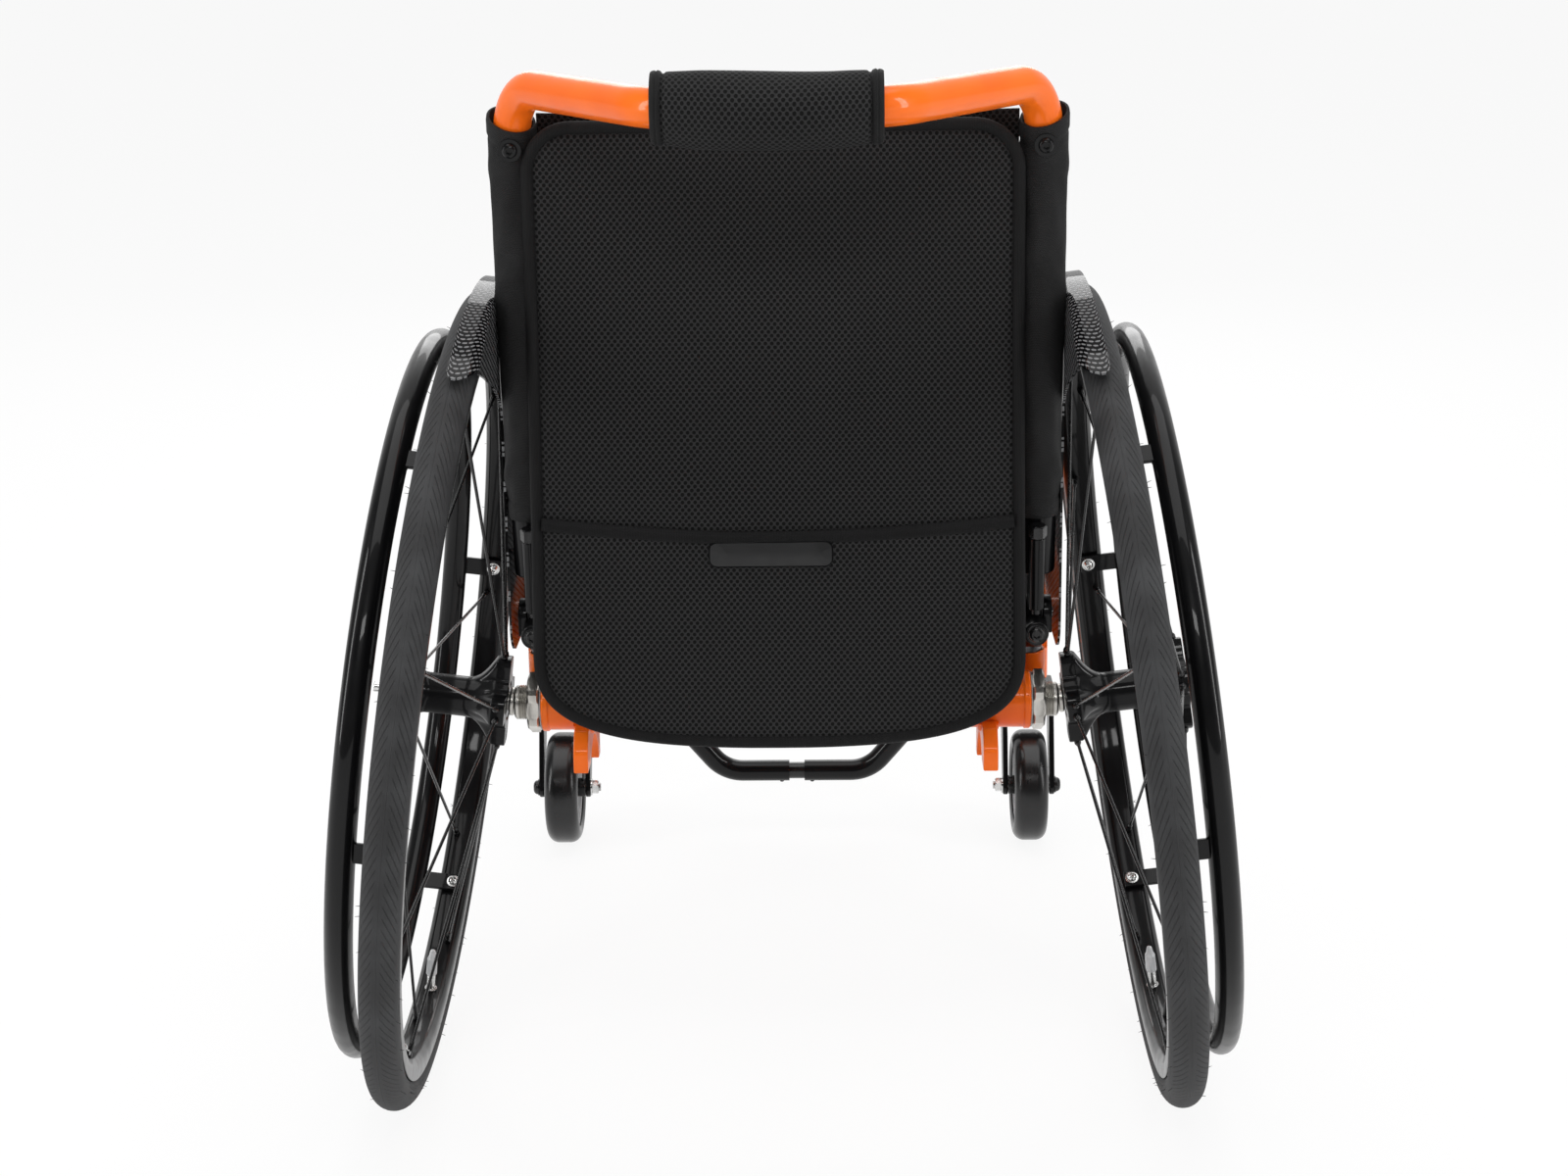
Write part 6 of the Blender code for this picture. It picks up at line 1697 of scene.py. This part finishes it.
def caster_fork():
    """Crown, two blades and the stem that turns in the housing."""
    crown = [(BLADE_TOP_HALF, CROWN_FOOT), (BLADE_TOP_HALF, CROWN_TOP),
             (-BLADE_TOP_HALF, CROWN_TOP), (-BLADE_TOP_HALF, CROWN_FOOT)]
    outline = arc((-CASTER_TRAIL, CASTER_RADIUS), BLADE_END, 180.0, 360.0, 24) + crown
    half = BLADE_INNER + 0.0012
    shoulder = HOUSING_FOOT - CLEARANCE
    stem = lathed([(CROWN_TOP - 0.0012, 0.012), (shoulder, 0.012), (shoulder, STEM_RADIUS),
                   (0.186, STEM_RADIUS)], 0.0006)
    return in_fork(together(plate(outline, BLADE_INNER, BLADE_OUTER, 0.0012),
                            plate(outline, -BLADE_OUTER, -BLADE_INNER, 0.0012),
                            plate(crown[-1:] + crown[:-1], -half, half, 0.0012),
                            moved(stem, TO_Z)))


def in_caster(bm):
    return shifted(bm, CASTER_X, STEM_Y - CASTER_TRAIL, CASTER_RADIUS)


def caster_tyre():
    half = CASTER_WIDTH / 2
    profile = [(half - 0.002, CASTER_TYRE_INNER), (half - 0.0012, CASTER_TYRE_INNER + 0.0012)]
    profile += [(half - CASTER_SHOULDER * (1 - cos(a)),
                 CASTER_RADIUS - CASTER_SHOULDER * (1 - sin(a)))
                for a in map(radians, range(0, 91, 10))]
    return in_caster(turned(profile + mirrored(profile) + profile[:1], 96))


def caster_hub():
    """Grey wheel centre with a dished web, its lip and the black bearing spacers."""
    half = CASTER_HUB_WIDTH / 2
    outer = CASTER_TYRE_INNER - CLEARANCE
    right = [(half - 0.0100, outer), (half, outer), (half, outer - 0.0035),
             (half - 0.0020, outer - 0.0055), (half - 0.0042, outer - 0.0085),
             (half - 0.0042, 0.0160), (half - 0.0018, 0.0125), (half - 0.0018, 0.0090),
             (half - 0.0030, 0.0088), (half - 0.0030, 0.0045)]
    return in_caster(turned(softened(mirrored(right) + right, 0.0010), 96))


def caster_spacers():
    ends = (CASTER_HUB_WIDTH / 2 - 0.004, CASTER_SPACER_END)
    return in_caster(together(*[ring_of(*sorted(side * end for end in ends), 0.0045, 0.0085)
                                for side in (1, -1)]))


def caster_axle():
    """Bolt through both blades: a nut and thread on the inner end, a washer on each side."""
    seat = BLADE_OUTER + CLEARANCE
    washer = seat + 0.0012
    nut = washer + CASTER_NUT_LENGTH
    corners = CASTER_NUT_CORNERS
    flats = corners * cos(pi / 6)
    thread = [(-nut - 0.0002 - 0.0004 * k, CASTER_AXLE_RADIUS - (0.0004 if k % 2 else 0.0))
              for k in range(5)]
    profile = [(-nut - 0.0020, 0.0), (-nut - 0.0020, CASTER_AXLE_RADIUS - 0.0006)] + thread[::-1]
    profile += [(-nut, CASTER_AXLE_RADIUS), (-nut, flats * 0.96, corners),
                (-nut + 0.0009, corners, corners), (-washer - 0.0003, corners, corners),
                (-washer, flats, corners), (-washer, CASTER_WASHER), (-seat, CASTER_WASHER),
                (-seat, CASTER_AXLE_RADIUS), (seat, CASTER_AXLE_RADIUS), (seat, 0.0)]
    return in_caster(turned(profile, SMALL_SIDES))


def caster_dome():
    return in_caster(shifted(socket_bolt(*CASTER_BOLT), BLADE_OUTER + CLEARANCE, 0.0, 0.0))


# Footrest, in the chair's axes


def footrest_tube():
    """Tube that slides into the front leg and turns in to the middle of the chair."""
    down = leg_direction()
    knee = LEG_FOOT + down * ((LEG_FOOT_Z - FOOT_UPPER_Z) / -down.z)
    path = rounded_path([LEG_FOOT - down * 0.060, knee, (FOOT_CORNER_X, FOOT_Y, FOOT_Z),
                         (FOOT_GAP_HALF, FOOT_Y, FOOT_Z)], [0.010, 0.035])
    return tube(path, FOOT_TUBE_RADIUS, ROUND_SIDES, (0.0, 1.0, 0.0))


def leg_clamp():
    """Clamp collar at the foot of the front leg."""
    down = leg_direction()
    outer = RAIL_RADIUS - 0.0004
    profile = [(0.0, FOOT_TUBE_RADIUS), (0.0, outer), (0.0035, outer), (0.0035, FOOT_TUBE_RADIUS)]
    return aimed(turned(softened(profile, 0.0006)), LEG_FOOT + down * 0.0001, down)


def connector():
    """Rod between the footrest tubes, and the small screws that hold it from below."""
    body = shifted(rod(-0.028, 0.028, FOOT_ROD_RADIUS), 0.0, FOOT_Y, FOOT_Z)
    for side in (1, -1):
        seat = (side * 0.014, FOOT_Y, FOOT_Z - FOOT_TUBE_RADIUS)
        together(body, aimed(socket_bolt(*CONNECTOR_SCREW), seat, (0.0, 0.0, -1.0)))
    return body


# The pieces, with their finish, body, CAD node and slot


def add_wheels():
    add_pairs(
        "drive_wheel",
        ("tyre_casing", tyre, TYRE, "tyre", "tyre_rubber"),
        ("tyre_hairs", vent_hairs, TYRE, None, "tyre_rubber"),
        ("rim_hoop", rim, BLACK, "rim", "black_rim"),
        ("hub_shell", hub_shell, BLACK, "hub", "black_rim"),
        ("spokes", spokes, SATIN_BLACK, "hub", "black_rim"),
        ("spoke_ends", spoke_ends, SATIN_BLACK, None, "black_rim"),
        ("push_ring", push_ring, BLACK, "handrim", "black_paint"),
        ("tab_bolts", tab_bolts, BRIGHT, None, "silver_metal"),
        ("valve_stem", valve, BRIGHT, None, "silver_metal"),
        ("valve_cap", valve_cap, CLEAR_CAP, None, "silver_metal"))
    add_pairs("frame", ("axle_head", quick_axle, SILVER, "quick_release_axle", "silver_metal"))
    add_pairs("axle_button",
              ("axle_button_cap", axle_button, BRIGHT, "release_button", "silver_metal"))


def add_frame():
    add_one("axle_beam", axle_tube(), ORANGE, "frame", "axle_tube")
    add_pairs(
        "frame",
        ("threaded_sleeve", camber_sleeve, SILVER, "camber_sleeve", "silver_metal"),
        ("lock_nut", camber_nut, SILVER, "camber_nut", "silver_metal"),
        ("nut_washer", nut_washer, CASTER_GREY, None, "silver_metal"),
        ("arch_bracket", arch_bracket, ORANGE, "anti_tip_bracket", "orange_paint"),
        ("side_rail", seat_rail, ORANGE, "seat_rail", "orange_paint"),
        ("insert_tube", insert_tube, GREY_METAL, "height_insert", "dark_tube"))
    add_one("cross_bar", cross_tube(), ORANGE, "frame", "front_cross_tube")
    add_pairs(
        "frame",
        ("pivot_body", pivot_bracket, BLACK, "pivot_bracket", "black_paint"),
        ("clamp_bolt", pivot_bolt, SATIN_BLACK, "pivot_bolt", "black_paint"),
        ("pivot_pin", hinge_pin, BRIGHT, "hinge_pin", "silver_metal"),
        ("carbon_guard", side_guard, (CARBON, CARBON_EDGE), "side_guard", "carbon_fibre"),
        ("guard_screws", guard_screws, SATIN_BLACK, None, "black_paint"))
    sling = add_one("sling_cloth", seat_sling(), CLOTH, "frame", "seat_sling")
    straps = add_one("sling_straps", sling_straps(), TAPE, "frame", None)


def add_backrest():
    add_pairs(
        "backrest",
        ("post_tube", back_post, BLACK, "back_post", "black_paint"),
        ("stop_barrel", stop_tube, BLACK, "stop_tube", "black_paint"),
        ("stop_bolt", stop_screw, SATIN_BLACK, "stop_screw", "black_paint"))
    sleeves = add_both("post_sleeve", back_sleeve, CLOTH, "backrest", "back_sleeve")
    add_pairs("backrest", ("cover_button", cover_bolt, BLACK, "cover_bolt", "black_paint"))
    add_one("bar_tube", push_bar(), ORANGE, "backrest", "push_bar")
    grip = add_one("grip_pad", grip_sleeve(), (MESH, TAPE), "backrest", "grip_sleeve")
    panel = add_one("cover_panel", back_panel(), (MESH, TAPE), "backrest", "back_panel")
    tape = add_one("pocket_tape", pocket_tape(), TAPE, "backrest", None)
    patch = add_one("bare_patch", bare_patch(), PATCH, "backrest", None)
    front = add_one("front_cover", back_upholstery(), MESH, "backrest", "back_upholstery")


def add_casters():
    add_pairs(
        "frame",
        ("stem_housing", caster_housing, ORANGE, "caster_housing", "orange_paint"),
        ("housing_cap", housing_cap, SATIN_BLACK, None, "black_paint"))
    add_pairs("caster_swivel", ("fork_body", caster_fork, BLACK, "caster_fork", "black_paint"))
    add_pairs(
        "caster_wheel",
        ("roller_tyre", caster_tyre, CASTER_RUBBER, "caster_tyre", "caster_rubber"),
        ("roller_hub", caster_hub, CASTER_GREY, "caster_hub", "caster_plastic"),
        ("roller_spacers", caster_spacers, SATIN_BLACK, None, "black_paint"))
    add_pairs(
        "caster_swivel",
        ("roller_axle", caster_axle, BRIGHT, "caster_axle", "silver_metal"),
        ("roller_dome", caster_dome, SATIN_BLACK, None, "black_paint"))


def add_footrest():
    add_pairs(
        "frame",
        ("foot_tube", footrest_tube, BLACK, "footrest_tube", "black_paint"),
        ("leg_collar", leg_clamp, SATIN_BLACK, None, "black_paint"))
    add_one("foot_connector", connector(), SATIN_BLACK, "frame", "footrest_connector")


# Floor, lamps, world and camera

FLOOR_HALF = 30.0
CAMERA_AT = (0.0344, -1.91335, 0.9045)
CAMERA_TURN = (75.485, 0.688, 0.860)
FOCAL_PIXELS = 2696.88
IMAGE_WIDTH = 1600
SHIFT_X = -0.00115
SHIFT_Y = -0.05626
SENSOR = 36.0
FLOOR_GLOW = 0.90
WORLD_LEVEL = 0.42
WORLD_BEHIND_CAMERA = 0.12
WALL_FROM = 0.05
WALL_TO = 0.95

# Lamps: name, place, target, width, height, power
LAMPS = (
    ("top_lamp", (0.0, -0.2, 4.2), (0.0, 0.0, 0.3), 4.5, 4.0, 104.0),
    ("right_lamp", (2.4, -0.9, 1.3), (0.1, 0.0, 0.4), 0.35, 2.0, 24.0),
    ("left_lamp", (-2.4, -0.9, 1.3), (-0.1, 0.0, 0.4), 0.35, 2.0, 24.0),
    ("camera_lamp", (0.0, -2.9, 2.3), (0.0, 0.0, 0.4), 1.4, 0.35, 16.0),
    ("front_lamp", (0.0, 2.6, 1.6), (0.0, 0.0, 0.4), 2.0, 1.2, 22.0),
)


def add_stage():
    """White floor that keeps the object's shadow."""
    surface = Surface("floor_white", (0.88, 0.88, 0.88), 0.9)
    mix = surface.node("ShaderNodeMixShader")
    surface.feed(mix.inputs[0], surface.seen()[1] * FLOOR_GLOW)
    for place, shader in ((1, surface.shader), (2, surface.node("ShaderNodeEmission"))):
        surface.links.new(shader.outputs[0], mix.inputs[place])
    surface.links.new(mix.outputs[0], surface.nodes["Material Output"].inputs["Surface"])
    corners = [(x * FLOOR_HALF, y * FLOOR_HALF, 0.0)
               for x, y in ((-1, -1), (1, -1), (1, 1), (-1, 1))]
    mesh = bpy.data.meshes.new("floor")
    mesh.from_pydata(corners, [], [(0, 1, 2, 3)])
    mesh.materials.append(surface.material)
    floor_object = bpy.data.objects.new("floor", mesh)
    bpy.context.scene.collection.objects.link(floor_object)


def add_world():
    """White for the camera. Gloss sees a white wall ahead of the chair and a dim room behind."""
    world = bpy.data.worlds.new("studio")
    tree = Tree(world)
    bpy.context.scene.world = world
    way = tree.node("ShaderNodeSeparateXYZ")
    tree.feed(way.inputs[0], Field(tree, tree.node("ShaderNodeTexCoord").outputs["Generated"]))
    wall = Field(tree, way.outputs["Y"]).from_to(WALL_FROM, WALL_TO, WORLD_BEHIND_CAMERA, 1.0)
    camera, seen = tree.seen()
    level = seen.from_to(0.0, 1.0, WORLD_LEVEL, wall).top(camera)
    background = tree.nodes["Background"]
    background.inputs["Color"].default_value = (1.0, 1.0, 1.0, 1.0)
    tree.feed(background.inputs["Strength"], level)


def add_lamps():
    for name, place, target, width, height, power in LAMPS:
        light = bpy.data.lights.new(name, "AREA")
        light.shape = "RECTANGLE"
        light.size = width
        light.size_y = height
        light.energy = power
        lamp = bpy.data.objects.new(name, light)
        lamp.location = place
        way = Vector(target) - Vector(place)
        lamp.rotation_euler = way.to_track_quat("-Z", "Y").to_euler()
        bpy.context.scene.collection.objects.link(lamp)


def add_camera():
    lens = bpy.data.cameras.new("camera")
    lens.sensor_width = SENSOR
    lens.lens = FOCAL_PIXELS / IMAGE_WIDTH * SENSOR
    lens.shift_x = SHIFT_X
    lens.shift_y = SHIFT_Y
    lens.clip_end = 100.0
    camera = bpy.data.objects.new("camera", lens)
    camera.location = CAMERA_AT
    camera.rotation_euler = [radians(part) for part in CAMERA_TURN]
    bpy.context.scene.collection.objects.link(camera)
    bpy.context.scene.camera = camera


add_camera()
add_wheels()
add_frame()
add_backrest()
add_casters()
add_footrest()
add_stage()
add_world()
add_lamps()
bpy.context.scene.view_settings.view_transform = "Standard"
bpy.context.view_layer.update()
